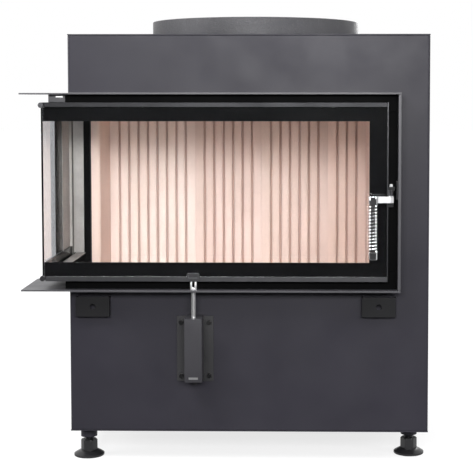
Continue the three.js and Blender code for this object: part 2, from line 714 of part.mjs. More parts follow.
function buildDoor(root) {
  const group = groupAt(root, 0, 0, 0);
  const railBottomTop = DOOR_BOTTOM + RAIL_HEIGHT;
  const railTopUnder = doorTop - RAIL_HEIGHT;
  const paneBottom = railBottomTop + SEAT;
  const paneTop = railTopUnder - SEAT;
  const blockFront = HINGE_BACK - HINGE_BLOCK;
  const stileBack = HINGE_BACK + HINGE_BLOCK;

  piece(group, 'front_glass',
    box(doorLeft, doorRight, DOOR_FRONT, glassBack, paneBottom, paneTop), clearGlass);
  piece(group, 'side_glass',
    box(doorLeft, doorLeft + GLASS, barFront, blockFront - SEAT, paneBottom, paneTop), clearGlass);

  const tubeX = doorLeft + GLASS / 2 - TUBE_OUT;
  const railLeft = tubeX + TUBE_RADIUS + SEAT;
  const railFront = glassBack - RAIL_DEPTH;
  const rail = (z) => box(railLeft, doorRight, railFront, glassBack, z, z + RAIL_HEIGHT);
  piece(group, 'front_rail_top', rail(railTopUnder), steel);
  piece(group, 'front_rail_bottom', join(rail(DOOR_BOTTOM), pullLoop(railFront)), steel);
  const tube = (z) => barY(TUBE_RADIUS, tubeX, z, railFront - TUBE_PROUD, blockFront - SEAT);
  const paneSeat = (z0, z1) => box(tubeX - TUBE_RADIUS, casingFront, DOOR_FRONT - SEAT, casingBack, z0, z1);
  piece(group, 'side_tube_top',
    cut(tube(doorTop - TUBE_RADIUS), paneSeat(DOOR_BOTTOM, paneTop + SEAT)), steel);
  piece(group, 'side_tube_bottom',
    cut(tube(DOOR_BOTTOM + TUBE_RADIUS), paneSeat(paneBottom - SEAT, doorTop)), steel);

  // Flat steel bars behind the glass: top, right and bottom in front, top, rear and bottom on the side.
  const frontPlan = (left, right, low, high) => box(left, right, barFront, barBack, low, high);
  piece(group, 'front_frame', cut(
    frontPlan(sideBarRight + SEAT, doorRight, DOOR_BOTTOM, doorTop),
    box(doorLeft, windowRight, 0, casingFront, windowBottom, windowTop),
  ), blackPaint);
  const sideBars = cut(
    box(sideBarLeft, sideBarRight, barFront, stileBack, railBottomTop + SEAT, railTopUnder - SEAT),
    box(doorLeft, casingFront, barFront - PAST, stileBack - STILE, windowBottom, windowTop),
  );
  const blocks = [DOOR_BOTTOM, doorTop - HINGE_BLOCK_HEIGHT].map((z) => (
    box(hingeX, hingeX + HINGE_BLOCK, blockFront, stileBack, z, z + HINGE_BLOCK_HEIGHT)));
  const barrels = [DOOR_BOTTOM, doorTop - HINGE_BLOCK_HEIGHT].map((z) => (
    post(HINGE_BLOCK, z, z + HINGE_BLOCK_HEIGHT, SIDES_ROUND).translate(hingeX, HINGE_BACK, 0)));
  const pinHoles = [
    [DOOR_BOTTOM - PAST, DOOR_BOTTOM + HINGE_BLOCK_HEIGHT + PAST],
    [doorTop - HINGE_BLOCK_HEIGHT - PAST, doorTop + PAST],
  ].map(([z0, z1]) => post(HINGE_PIN_RADIUS + RUN, z0, z1, SIDES_ROUND).translate(hingeX, HINGE_BACK, 0));
  piece(group, 'side_frame', cut(join(sideBars, ...blocks, ...barrels), ...pinHoles), blackPaint);

  piece(group, 'door_seal', join(...doorSeal(blockFront)), rope);

  const knuckleBottoms = [ARM_TOP - ARM_HEIGHT - SEAT - KNUCKLE_HEIGHT, ARM_TOP + SEAT];
  piece(group, 'edge_strip', join(
    box(doorRight + SEAT, doorRight + EDGE_STRIP, railFront, barBack, DOOR_BOTTOM, doorTop),
    ...knuckleBottoms.map((z) => handleKnuckle(z)),
  ), steel);
}

// Loop welded to the front of the lower rail, to pull the door by when it is cold.
function pullLoop(railFront) {
  const left = AIR_X - LOOP_WIDTH / 2;
  const right = left + LOOP_WIDTH;
  const shoulder = LOOP_BOTTOM + LOOP_HEIGHT - LOOP_BAR;
  const shape = new THREE.Shape();
  shape.moveTo(left, LOOP_BOTTOM);
  shape.lineTo(right, LOOP_BOTTOM);
  shape.lineTo(right, shoulder);
  shape.absarc(right - LOOP_BAR, shoulder, LOOP_BAR, 0, Math.PI / 2);
  shape.lineTo(left + LOOP_BAR, LOOP_BOTTOM + LOOP_HEIGHT);
  shape.absarc(left + LOOP_BAR, shoulder, LOOP_BAR, Math.PI / 2, Math.PI);
  shape.closePath();
  const eye = box(left + LOOP_BAR, right - LOOP_BAR, railFront - 2 * LOOP_DEPTH, railFront - PAST,
    LOOP_BOTTOM + LOOP_BAR, shoulder);
  return cut(alongY(shape, railFront - LOOP_DEPTH, railFront + PAST, 3), eye);
}

// One of the two knuckles that hold the handle's pin beside the door's right edge.
function handleKnuckle(z) {
  const left = doorRight + EDGE_STRIP - PAST;
  const hole = post(HANDLE_PIN_RADIUS + RUN, z - PAST, z + KNUCKLE_HEIGHT + PAST, SIDES_SLIM);
  return cut(join(
    box(left, handleX, HANDLE_Y - KNUCKLE_RADIUS / 2, HANDLE_Y + KNUCKLE_RADIUS, z, z + KNUCKLE_HEIGHT),
    post(KNUCKLE_RADIUS, z, z + KNUCKLE_HEIGHT, SIDES_SLIM).translate(handleX, HANDLE_Y, 0),
  ), hole.translate(handleX, HANDLE_Y, 0));
}

// Lengths of rope round the edge of both door leaves, on the steel bars. They meet at the corners.
function doorSeal(blockFront) {
  const radius = SEAL / 2;
  const y = barBack + radius + SEAT / 2;
  const x = sideBarRight + radius + SEAT / 2;
  const low = DOOR_BOTTOM + SEAL_LINE;
  const high = doorTop - SEAL_LINE;
  const right = doorRight - SEAL_LINE;
  const rear = blockFront - radius - SEAT;
  const ropes = [];
  for (const z of [low, high]) {
    ropes.push(barX(radius, y, z, x - radius, right + radius, SIDES_ROPE));
    ropes.push(barY(radius, x, z, y - radius, rear + radius, SIDES_ROPE));
  }
  const upright = (px, py) => post(radius, low - radius, high + radius, SIDES_ROPE).translate(px, py, 0);
  ropes.push(upright(right, y), upright(x, rear));
  return ropes;
}

function buildHinge(root) {
  const group = groupAt(root, 0, 0, 0);
  const left = hingeX - HINGE_BLOCK;
  const right = frameLeft - SEAT;
  const front = HINGE_BACK - 2 * HINGE_BLOCK;
  const back = postFront - SEAT;
  const lowTop = DOOR_BOTTOM - SEAT;
  const highUnder = doorTop + SEAT;
  const pin = (z0, z1) => post(HINGE_PIN_RADIUS, z0, z1, SIDES_ROUND).translate(hingeX, HINGE_BACK, 0);
  piece(group, 'hinge_bracket_bottom', join(
    box(left, right, front, back, lowTop - HINGE_PLATE, lowTop),
    pin(lowTop - PAST, DOOR_BOTTOM + HINGE_PIN_REACH),
  ), steel);
  piece(group, 'hinge_bracket_top', join(
    box(left, right, front, back, highUnder, highUnder + HINGE_PLATE),
    pin(doorTop - HINGE_PIN_REACH, highUnder + PAST),
  ), steel);
}

// ---------------------------------------------------------------- handle and latch

// One unbroken wire wound about the vertical axis: a helix of round section.
function helixWire(radius, wire, bottom, length, curls) {
  const turns = curls * SPRING_STEPS;
  const slope = length / (curls * 2 * Math.PI);
  const position = [];
  const index = [];
  for (let i = 0; i <= turns; i += 1) {
    const angle = (i / SPRING_STEPS) * 2 * Math.PI;
    const out = new THREE.Vector3(Math.cos(angle), Math.sin(angle), 0);
    const along = new THREE.Vector3(-radius * Math.sin(angle), radius * Math.cos(angle), slope).normalize();
    const up = new THREE.Vector3().crossVectors(out, along);
    const centre = out.clone().multiplyScalar(radius).setZ(bottom + slope * angle);
    for (let side = 0; side < SPRING_SIDES; side += 1) {
      const around = (side / SPRING_SIDES) * 2 * Math.PI;
      const point = centre.clone()
        .addScaledVector(out, wire * Math.cos(around))
        .addScaledVector(up, wire * Math.sin(around));
      position.push(point.x, point.y, point.z);
    }
  }
  for (let i = 0; i < turns; i += 1) {
    for (let side = 0; side < SPRING_SIDES; side += 1) {
      const a = i * SPRING_SIDES + side;
      const b = i * SPRING_SIDES + ((side + 1) % SPRING_SIDES);
      index.push(a, b, a + SPRING_SIDES, b, b + SPRING_SIDES, a + SPRING_SIDES);
    }
  }
  const last = turns * SPRING_SIDES;
  for (let side = 1; side < SPRING_SIDES - 1; side += 1) {
    index.push(0, side + 1, side, last, last + side, last + side + 1);
  }
  const geometry = new THREE.BufferGeometry();
  geometry.setAttribute('position', new THREE.Float32BufferAttribute(position, 3));
  geometry.setIndex(index);
  return closed(geometry);
}

// Least gap between one curl and the next, measured on points of both centre lines.
function leastCurlGap(radius, wire, length, curls) {
  const slope = length / (curls * 2 * Math.PI);
  const at = (angle) => new THREE.Vector3(
    radius * Math.cos(angle), radius * Math.sin(angle), slope * angle);
  let least = Infinity;
  for (let i = 0; i < SPRING_STEPS * 4; i += 1) {
    const first = at((i / SPRING_STEPS / 4) * 2 * Math.PI);
    for (let k = -SPRING_STEPS; k <= SPRING_STEPS; k += 1) {
      const second = at(((i + k) / SPRING_STEPS / 4 + 1) * 2 * Math.PI);
      least = Math.min(least, first.distanceTo(second) - 2 * wire);
    }
  }
  return least;
}

function buildHandle(root) {
  // The handle's own place is its vertical axis, at the height of the floor.
  const group = groupAt(root, handleX, HANDLE_Y, 0);
  const armBottom = ARM_TOP - ARM_HEIGHT;

  const arm = new THREE.Shape();
  const half = ARM_THICK / 2;
  const gripFace = -GRIP_X + GRIP_RADIUS + SEAT;
  arm.moveTo(half, 0);
  arm.lineTo(half, -GRIP_Y + half);
  arm.absarc(-half, -GRIP_Y + half, ARM_THICK, 0, -Math.PI / 2, true);
  arm.lineTo(gripFace, -GRIP_Y - half);
  arm.lineTo(gripFace, -GRIP_Y + half);
  arm.lineTo(-half, -GRIP_Y + half);
  arm.lineTo(-half, 0);
  arm.closePath();
  piece(group, 'handle_arm', join(
    raise(arm, armBottom, ARM_TOP, 5),
    post(EYE_RADIUS, armBottom, ARM_TOP, SIDES_ROUND),
    post(HANDLE_PIN_RADIUS, armBottom - KNUCKLE_HEIGHT - SEAT, ARM_TOP + PIN_RISE, SIDES_SLIM),
  ), chrome);

  const camBottom = ARM_TOP + KNUCKLE_HEIGHT + 2 * SEAT;
  const nose = new THREE.Shape();
  nose.absarc(0, 0, EYE_RADIUS, CAM_SPREAD, 2 * Math.PI - CAM_SPREAD, false);
  nose.lineTo(CAM_REACH, -CAM_TIP);
  nose.lineTo(CAM_REACH, CAM_TIP);
  nose.closePath();
  piece(group, 'latch_cam', cut(
    raise(nose, camBottom, camBottom + CAM_HEIGHT, 8),
    post(HANDLE_PIN_RADIUS + SEAT, camBottom - PAST, camBottom + CAM_HEIGHT + PAST, SIDES_SLIM),
  ), steel);

  const grip = groupAt(group, -GRIP_X, -GRIP_Y, 0);
  const gripTop = ARM_TOP + GRIP_ABOVE;
  const springTop = gripTop - GRIP_BLOCK;
  const springBottom = springTop - SPRING_LENGTH;
  const coreRadius = GRIP_RADIUS - 2 * SPRING_WIRE - SEAT;
  piece(grip, 'grip_core', turn([
    [0, springBottom - GRIP_CAP],
    [GRIP_RADIUS - GRIP_CHAMFER, springBottom - GRIP_CAP],
    [GRIP_RADIUS, springBottom - GRIP_CAP + GRIP_CHAMFER],
    [GRIP_RADIUS, springBottom],
    [coreRadius, springBottom],
    [coreRadius, springTop],
    [GRIP_RADIUS, springTop],
    [GRIP_RADIUS, gripTop - GRIP_CHAMFER],
    [GRIP_RADIUS - GRIP_CHAMFER, gripTop],
    [0, gripTop],
  ], SIDES_ROUND), chrome);
  const coilRadius = GRIP_RADIUS - SPRING_WIRE;
  const coilLength = SPRING_LENGTH - 2 * SPRING_WIRE - 2 * SEAT;
  piece(grip, 'grip_spring',
    helixWire(coilRadius, SPRING_WIRE, springBottom + SPRING_WIRE + SEAT, coilLength, SPRING_CURLS), chrome);
  const gap = leastCurlGap(coilRadius, SPRING_WIRE, coilLength, SPRING_CURLS);
  console.log(`Handle spring: least gap between curls ${gap.toFixed(2)} mm`);
}

function buildKeeper(root) {
  const middle = ARM_TOP + KNUCKLE_HEIGHT;
  const back = frameFront - SEAT;
  piece(root, 'latch_keeper', box(surroundInner - SEAT - KEEPER_THICK, surroundInner - SEAT,
    back - KEEPER_DEPTH, back, middle - KEEPER_HEIGHT / 2, middle + KEEPER_HEIGHT / 2), steel);
}

// ---------------------------------------------------------------- air control

function buildAirControl(root) {
  const group = groupAt(root, 0, 0, 0);
  const plateBack = casingFront - SEAT;
  const plateFront = plateBack - AIR_PLATE;
  const coverBottom = COVER_TOP - COVER_HEIGHT;
  const half = COVER_WIDTH / 2;
  const coverFront = AIR_Y - half;

  const plateLeft = AIR_X - AIR_PLATE_WIDTH / 2;
  const boltPlaces = [-1, 1].flatMap((side) => [0, 1].map((row) => [
    AIR_X + (side * BOLT_SPREAD) / 2, COVER_TOP - BOLT_TOP - row * BOLT_RISE]));
  const plate = box(plateLeft, plateLeft + AIR_PLATE_WIDTH, plateFront, plateBack,
    coverBottom - AIR_PLATE_MARGIN, COVER_TOP - AIR_PLATE_MARGIN / 3);
  const heads = boltPlaces.map(([x, z]) => (
    barY(BOLT_HEX, x, z, plateFront - BOLT_HEAD, plateFront + PAST, SIDES_HEX)));
  const plateSlot = airSlot(plateFront - PAST, plateBack + PAST);
  piece(group, 'air_plate', join(cut(plate, plateSlot), ...heads), blackPaint);

  // The cover is a folded hood, open to the plate. Air comes in at its foot, in front of the flap.
  const coverBack = plateFront - SEAT;
  const side = [
    [coverBack, COVER_TOP], [coverFront, COVER_TOP], [coverFront, coverBottom + COVER_WIDTH / 2],
    [coverFront + COVER_SLOPE, coverBottom], [coverBack, coverBottom],
  ];
  const inside = [
    [coverBack + PAST, COVER_TOP - COVER_SHEET], [coverFront + COVER_SHEET, COVER_TOP - COVER_SHEET],
    [coverFront + COVER_SHEET, coverBottom + COVER_WIDTH / 2],
    [coverFront + COVER_SLOPE + COVER_SHEET, coverBottom - PAST], [AIR_Y, coverBottom - PAST],
    [AIR_Y, coverBottom + COVER_SHEET], [coverBack + PAST, coverBottom + COVER_SHEET],
  ];
  const rodHole = post(AIR_ROD_RADIUS + RUN, COVER_TOP - 2 * COVER_SHEET, COVER_TOP + PAST, SIDES_SLIM);
  piece(group, 'air_cover', cut(
    alongX(outline(side), AIR_X - half, AIR_X + half),
    alongX(outline(inside), AIR_X - half + COVER_SHEET, AIR_X + half - COVER_SHEET),
    rodHole.translate(AIR_X, AIR_Y, 0),
  ), blackPaint);

  // The spindle's own place is its axis: rod, fork and flap turn together.
  const spindle = groupAt(root, AIR_X, AIR_Y, 0);
  const forkBottom = surroundFloor + SEAT;
  const forkTop = forkBottom + FORK_HEIGHT;
  const flapTop = COVER_TOP - BOLT_TOP;
  const fork = cut(
    box(-FORK_WIDTH / 2, FORK_WIDTH / 2, -FORK_DEPTH / 2, FORK_DEPTH / 2, forkBottom, forkTop),
    box(-FORK_SLOT / 2, FORK_SLOT / 2, -FORK_DEPTH, FORK_DEPTH, forkBottom + FORK_HEIGHT / 3, forkTop + PAST),
  );
  piece(spindle, 'air_spindle', join(
    fork,
    post(AIR_ROD_RADIUS, flapTop - FLAP_HEIGHT - FLAP_HUB, forkBottom + PAST, SIDES_SLIM),
  ), chrome);
  const flapHalf = half - COVER_SHEET - FLAP_GAP;
  const flap = join(
    box(-flapHalf, flapHalf, -FLAP_SHEET / 2, FLAP_SHEET / 2, flapTop - FLAP_HEIGHT, flapTop),
    post(AIR_ROD_RADIUS + FLAP_EYE, flapTop - FLAP_HEIGHT, flapTop, SIDES_SLIM),
  );
  piece(spindle, 'air_flap', cut(flap, post(AIR_ROD_RADIUS + SEAT, 0, COVER_TOP, SIDES_SLIM)), steel);
}

// ---------------------------------------------------------------- feet

function foot() {
  return join(
    turn([
      [0, 0], [PAD_RADIUS - PAD_EDGE, 0], [PAD_RADIUS, PAD_EDGE], [PAD_RADIUS, PAD_RIM],
      [PAD_RADIUS * PAD_SHOULDER, PAD_RIM + (PAD_DOME - PAD_RIM) * PAD_SHOULDER_RISE],
      [FOOT_HEX * PAD_NECK, PAD_DOME], [0, PAD_DOME],
    ], SIDES_WIDE),
    post(FOOT_HEX, PAD_DOME - PAST, FOOT_HEX_TOP, SIDES_HEX),
    post(SCREW_RADIUS, FOOT_HEX_TOP - PAST, SCREW_TOP, SIDES_SLIM),
  );
}

function buildFeet(root) {
  const names = ['foot_front_left', 'foot_front_right', 'foot_rear_left', 'foot_rear_right'];
  footPlaces().forEach(([x, y], i) => {
    piece(groupAt(root, x, y, 0), names[i], foot(), rubber);
  });
}

// ---------------------------------------------------------------- assembly

const insert = new THREE.Group();
buildCasing(insert);
buildFirebox(insert);
buildLining(insert);
buildFrame(insert);
buildDoor(insert);
buildHinge(insert);
buildHandle(insert);
buildKeeper(insert);
buildAirControl(insert);
buildFeet(insert);

// Centre the footprint on the origin.
const bounds = new THREE.Box3().setFromObject(insert);
const centre = bounds.getCenter(new THREE.Vector3());
insert.position.set(-centre.x, -centre.y, 0);

export default insert;
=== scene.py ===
"""A corner fireplace insert in a plain pale studio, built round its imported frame.

Every piece stands in the frame's own metres: +Z up, -Y the front with the wide pane, -X the side with the
side pane. Each sub-assembly is a class that shapes its pieces and dresses them with its finishes.
"""

import functools
import logging
import math
from dataclasses import dataclass, field
from enum import Enum
from typing import Callable, Sequence

import bmesh
import bpy
import numpy as np
from mathutils import Euler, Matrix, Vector


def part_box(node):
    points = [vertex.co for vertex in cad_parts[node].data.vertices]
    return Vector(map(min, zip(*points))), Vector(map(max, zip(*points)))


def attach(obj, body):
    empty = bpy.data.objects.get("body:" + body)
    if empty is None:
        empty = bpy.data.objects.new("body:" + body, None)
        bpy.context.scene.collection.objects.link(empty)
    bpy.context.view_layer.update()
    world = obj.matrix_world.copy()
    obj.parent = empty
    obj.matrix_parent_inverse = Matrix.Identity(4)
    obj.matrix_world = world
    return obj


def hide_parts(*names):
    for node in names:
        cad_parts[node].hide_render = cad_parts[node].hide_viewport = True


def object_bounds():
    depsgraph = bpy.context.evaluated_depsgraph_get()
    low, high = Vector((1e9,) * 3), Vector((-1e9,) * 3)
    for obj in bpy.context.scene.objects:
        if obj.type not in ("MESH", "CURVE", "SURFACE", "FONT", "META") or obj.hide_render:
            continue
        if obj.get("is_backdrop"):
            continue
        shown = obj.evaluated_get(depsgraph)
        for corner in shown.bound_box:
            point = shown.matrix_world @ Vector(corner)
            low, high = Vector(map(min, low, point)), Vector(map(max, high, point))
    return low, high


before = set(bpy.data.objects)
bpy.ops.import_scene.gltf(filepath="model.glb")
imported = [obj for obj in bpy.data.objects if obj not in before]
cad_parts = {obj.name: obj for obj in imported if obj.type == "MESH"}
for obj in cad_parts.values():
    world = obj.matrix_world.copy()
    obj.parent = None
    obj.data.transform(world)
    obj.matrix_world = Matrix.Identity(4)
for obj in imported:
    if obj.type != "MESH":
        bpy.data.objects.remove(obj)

LOG = logging.getLogger("fireplace_insert")
MM = 0.001
SEAM = 2e-6  # corners closer than this are one corner
FLAT = math.radians(0.6)  # faces that turn less than this lie in one plane
CREASE = math.radians(29)  # an edge that turns more than this is an edge of the real piece
TURN = 2 * math.pi
MOST = (0.3, 0.7)  # the range that most of a noise's values lie in
FULL = (0.0, 1.0)
WHITE = (1.0, 1.0, 1.0, 1.0)

Pair = tuple[float, float]
Colour = tuple[float, float, float]
Point = tuple[float, float, float]
Mender = Callable[[bmesh.types.BMesh], object]
Grain = tuple[float, float, float]  # a noise's clouds per metre, octaves and weight of the finer ones
Socket = bpy.types.NodeSocket


class Body(Enum):
    """The bodies that move against each other."""

    CASING = "casing"
    DOOR = "door"
    HANDLE = "handle"
    AIR = "air_control"
    FRONT_LEFT = "foot_front_left_body"
    FRONT_RIGHT = "foot_front_right_body"
    REAR_LEFT = "foot_rear_left_body"
    REAR_RIGHT = "foot_rear_right_body"


class Slot(Enum):
    """The record's material slots."""

    CASING = "casing_paint"
    SURROUND = "surround_paint"
    BLACK = "black_paint"
    STEEL = "steel"
    CHROME = "chrome"
    CLAY = "fireclay"
    FLAKE = "vermiculite"
    GLASS = "glass"
    ROPE = "rope"
    FOOT = "foot_black"


class Along(Enum):
    """Axis that a flat outline (u, v) is drawn out along (w); the value puts (u, v, w) in x, y, z order."""

    X = (2, 0, 1)
    Y = (0, 2, 1)
    Z = (0, 1, 2)


@dataclass(frozen=True)
class Span:
    """The box that a CAD node fills."""

    low: np.ndarray
    high: np.ndarray

    @classmethod
    def of(cls, node: str) -> "Span":
        """Span of one CAD node."""
        low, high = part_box(node)
        return cls(np.array(low), np.array(high))

    @property
    def middle(self) -> np.ndarray:
        """Centre of the box."""
        return (self.low + self.high) / 2

    @property
    def size(self) -> np.ndarray:
        """Edge lengths of the box."""
        return self.high - self.low


# ---------------------------------------------------------------- surfaces


def welded(name: str, points: np.ndarray, faces: list[list[int]], mend: Mender) -> bpy.types.Mesh:
    """One mesh of points and faces: its seams welded, and all but its real edges smooth.

    Args:
        name: Name of the mesh.
        points: Any array whose last axis is x, y, z.
        faces: Numbers of each face's points.
        mend: What else is done to it once it is welded.

    Returns:
        The finished mesh.
    """
    mesh = bpy.data.meshes.new(name)
    mesh.from_pydata(points.reshape(-1, 3).tolist(), [], faces)
    work = bmesh.new()
    work.from_mesh(mesh)
    bmesh.ops.remove_doubles(work, verts=work.verts, dist=SEAM)
    mend(work)
    work.to_mesh(mesh)
    work.free()
    mesh.shade_smooth()
    mesh.set_sharp_from_angle(angle=CREASE)
    return mesh


class Patchwork:
    """Gathers numpy surfaces and caps, and makes one mesh of them."""

    def __init__(self) -> None:
        """Starts empty."""
        self.points: list[np.ndarray] = []
        self.faces: list[list[int]] = []
        self.count = 0

    def add(self, points: np.ndarray) -> int:
        """Adds loose points.

        Args:
            points: Any array whose last axis is x, y, z.

        Returns:
            The number of the first of them.
        """
        first = self.count
        flat = np.asarray(points, float).reshape(-1, 3)
        self.points.append(flat)
        self.count += len(flat)
        return first

    def grid(self, points: np.ndarray, wrap_u: bool = False, wrap_v: bool = False,
             caps: bool = False) -> None:
        """Adds a surface of two parameters.

        Quad (i, j) joins points (i, j), (i+1, j), (i+1, j+1), (i, j+1), counted round where a side wraps.

        Args:
            points: Array (u, v, 3).
            wrap_u: The last row joins the first.
            wrap_v: The last column joins the first.
            caps: Close the first and the last row with a face each.
        """
        rows, columns = points.shape[:2]
        first = self.add(points)
        spans = np.arange(rows - (not wrap_u)), np.arange(columns - (not wrap_v))
        u, v = np.meshgrid(*spans, indexing="ij")
        u_next, v_next = (u + 1) % rows, (v + 1) % columns
        near, far = u * columns, u_next * columns
        quads = np.stack([near + v, far + v, far + v_next, near + v_next], axis=-1)
        self.faces += (quads.reshape(-1, 4) + first).tolist()
        if caps:
            ring = np.arange(columns)
            self.faces.append((first + ring).tolist())
            self.faces.append((first + (rows - 1) * columns + ring[::-1]).tolist())

    def prism(self, outline: np.ndarray, start: float, end: float, along: Along = Along.Z,
              ease: float = 0.0, steps: int = 3) -> None:
        """Draws a flat outline out between two levels, with eased rims.

        Ring k of a rim lies ease * (1 - sin a) from its end and ease * (1 - cos a) inside the outline.

        Args:
            outline: Corners (u, v), anticlockwise.
            start: Lower level along w.
            end: Upper level.
            along: The axis w.
            ease: Radius of the rims, 0 for sharp ones.
            steps: Rings in each rim.
        """
        angles = np.linspace(0, math.pi / 2, steps + 1)[:-1] if ease else np.array([])
        inset = ease * (1 - np.sin(angles))
        depth = ease * (1 - np.cos(angles))
        levels = np.concatenate([start + depth, [start + ease, end - ease], end - depth[::-1]])
        insets = np.concatenate([inset, [0, 0], inset[::-1]])
        rings = np.stack([
            np.column_stack([shrunk(outline, inwards), np.full(len(outline), level)])
            for inwards, level in zip(insets, levels)
        ])
        self.grid(rings[..., list(along.value)], wrap_v=True, caps=True)

    def lathe(self, profile: np.ndarray, axis: Sequence[float], sides: int,
              closed: bool = False) -> None:
        """Turns a profile about a vertical axis: x = axis + r cos a, y = axis + r sin a, z = height.

        Args:
            profile: Rows of (radius, height).
            axis: x and y of the axis.
            sides: Steps in the turn.
            closed: The profile's last point joins its first.
        """
        angle = np.linspace(0, TURN, sides, endpoint=False)
        radius, height = profile[:, :1], profile[:, 1:]
        rings = np.stack([
            axis[0] + radius * np.cos(angle), axis[1] + radius * np.sin(angle),
            np.broadcast_to(height, (len(profile), sides)),
        ], axis=-1)
        self.grid(rings, wrap_u=closed, wrap_v=True)

    def tube(self, centre: np.ndarray, across: np.ndarray, up: np.ndarray, radius: float,
             sides: int) -> None:
        """Carries a circle along a path: point = centre + radius (cos a across + sin a up).

        Args:
            centre: Path (m, 3).
            across: First unit vector of the section at each point.
            up: Second unit vector of it.
            radius: Radius of the section.
            sides: Points round it.
        """
        angle = np.linspace(0, TURN, sides, endpoint=False)[None, :, None]
        ring = np.cos(angle) * across[:, None] + np.sin(angle) * up[:, None]
        self.grid(centre[:, None] + radius * ring, wrap_v=True, caps=True)

    def mesh(self, name: str) -> bpy.types.Mesh:
        """Makes the mesh, its faces turned outwards."""
        def mend(work: bmesh.types.BMesh) -> None:
            """Drops faces without a surface and turns the others outwards."""
            bmesh.ops.dissolve_degenerate(work, dist=SEAM / 2, edges=work.edges)
            bmesh.ops.recalc_face_normals(work, faces=work.faces)

        return welded(name, np.concatenate(self.points), self.faces, mend)


def unit(vectors: np.ndarray) -> np.ndarray:
    """Vectors of length 1 along the rows."""
    return vectors / np.linalg.norm(vectors, axis=1, keepdims=True)


def shrunk(outline: np.ndarray, inwards: float) -> np.ndarray:
    """Moves a closed outline inwards.

    Each corner goes along the mean of its two edges' inward normals, by the distance over the cosine of
    half the turn.

    Args:
        outline: Corners (u, v), anticlockwise.
        inwards: Distance.

    Returns:
        The moved corners.
    """
    if not inwards:
        return outline
    ahead = unit(np.roll(outline, -1, axis=0) - outline)
    normal = np.column_stack([-ahead[:, 1], ahead[:, 0]])
    mean = unit(normal + np.roll(normal, 1, axis=0))
    cosine = np.maximum((mean * normal).sum(axis=1), 0.5)
    return outline + mean * (inwards / cosine)[:, None]


def hexagon(reach: float, cap: float, sides: int) -> np.ndarray:
    """Hexagon in polar form, cut off by a circle: r = min(apothem / cos(a mod 60 - 30), cap).

    Args:
        reach: Half the distance across the corners.
        cap: Radius of the circle.
        sides: Points round it.

    Returns:
        Outline (u, v), anticlockwise.
    """
    angle = np.linspace(0, TURN, sides, endpoint=False)
    sixth = TURN / 6
    side = reach * math.cos(sixth / 2) / np.cos(angle % sixth - sixth / 2)
    radius = np.minimum(side, cap)
    return radius[:, None] * np.column_stack([np.cos(angle), np.sin(angle)])


def carried(corners: np.ndarray, bend: float, step: float) -> tuple[np.ndarray, ...]:
    """A path of straight runs and round right-angled bends, with a frame that turns only with the bends.

    A run is corner + t way. A bend is its centre + bend (sin a way - cos a following), and the frame is
    turned by the same angle about the bend's axis.

    Args:
        corners: Corners (n, 3) of the open path.
        bend: Radius of the bends.
        step: Distance between points of the path.

    Returns:
        Points, first and second cross vector, and distance along the path.
    """
    legs = np.diff(corners, axis=0)
    lengths = np.linalg.norm(legs, axis=1)
    ways = legs / lengths[:, None]
    across = np.cross(ways[0], ways[1])
    points, firsts, seconds = [], [], []
    for i, (way, length) in enumerate(zip(ways, lengths)):
        start = bend if i else 0.0
        end = length - (bend if i + 1 < len(ways) else 0.0)
        run = np.linspace(start, end, max(2, int((end - start) / step)))
        points.append(corners[i] + run[:, None] * way)
        firsts.append(np.broadcast_to(across, points[-1].shape))
        seconds.append(np.broadcast_to(np.cross(way, across), points[-1].shape))
        if i + 1 == len(ways):
            break
        following = ways[i + 1]
        hinge = np.cross(way, following)
        angle = np.linspace(0, math.pi / 2, max(4, int(bend * math.pi / 2 / step)))[1:-1, None]
        centre = corners[i + 1] - bend * way + bend * following
        points.append(centre - bend * np.cos(angle) * following + bend * np.sin(angle) * way)
        heading = np.cos(angle) * way + np.sin(angle) * following
        turned = (
            np.cos(angle) * across + np.sin(angle) * np.cross(hinge, across)
            + (1 - np.cos(angle)) * hinge * (hinge @ across)
        )
        firsts.append(turned)
        seconds.append(np.cross(heading, turned))
        across = np.cross(hinge, across) + hinge * (hinge @ across)
    path = np.concatenate(points)
    gone = np.concatenate([[0.0], np.cumsum(np.linalg.norm(np.diff(path, axis=0), axis=1))])
    return path, np.concatenate(firsts), np.concatenate(seconds), gone


# ---------------------------------------------------------------- finishes


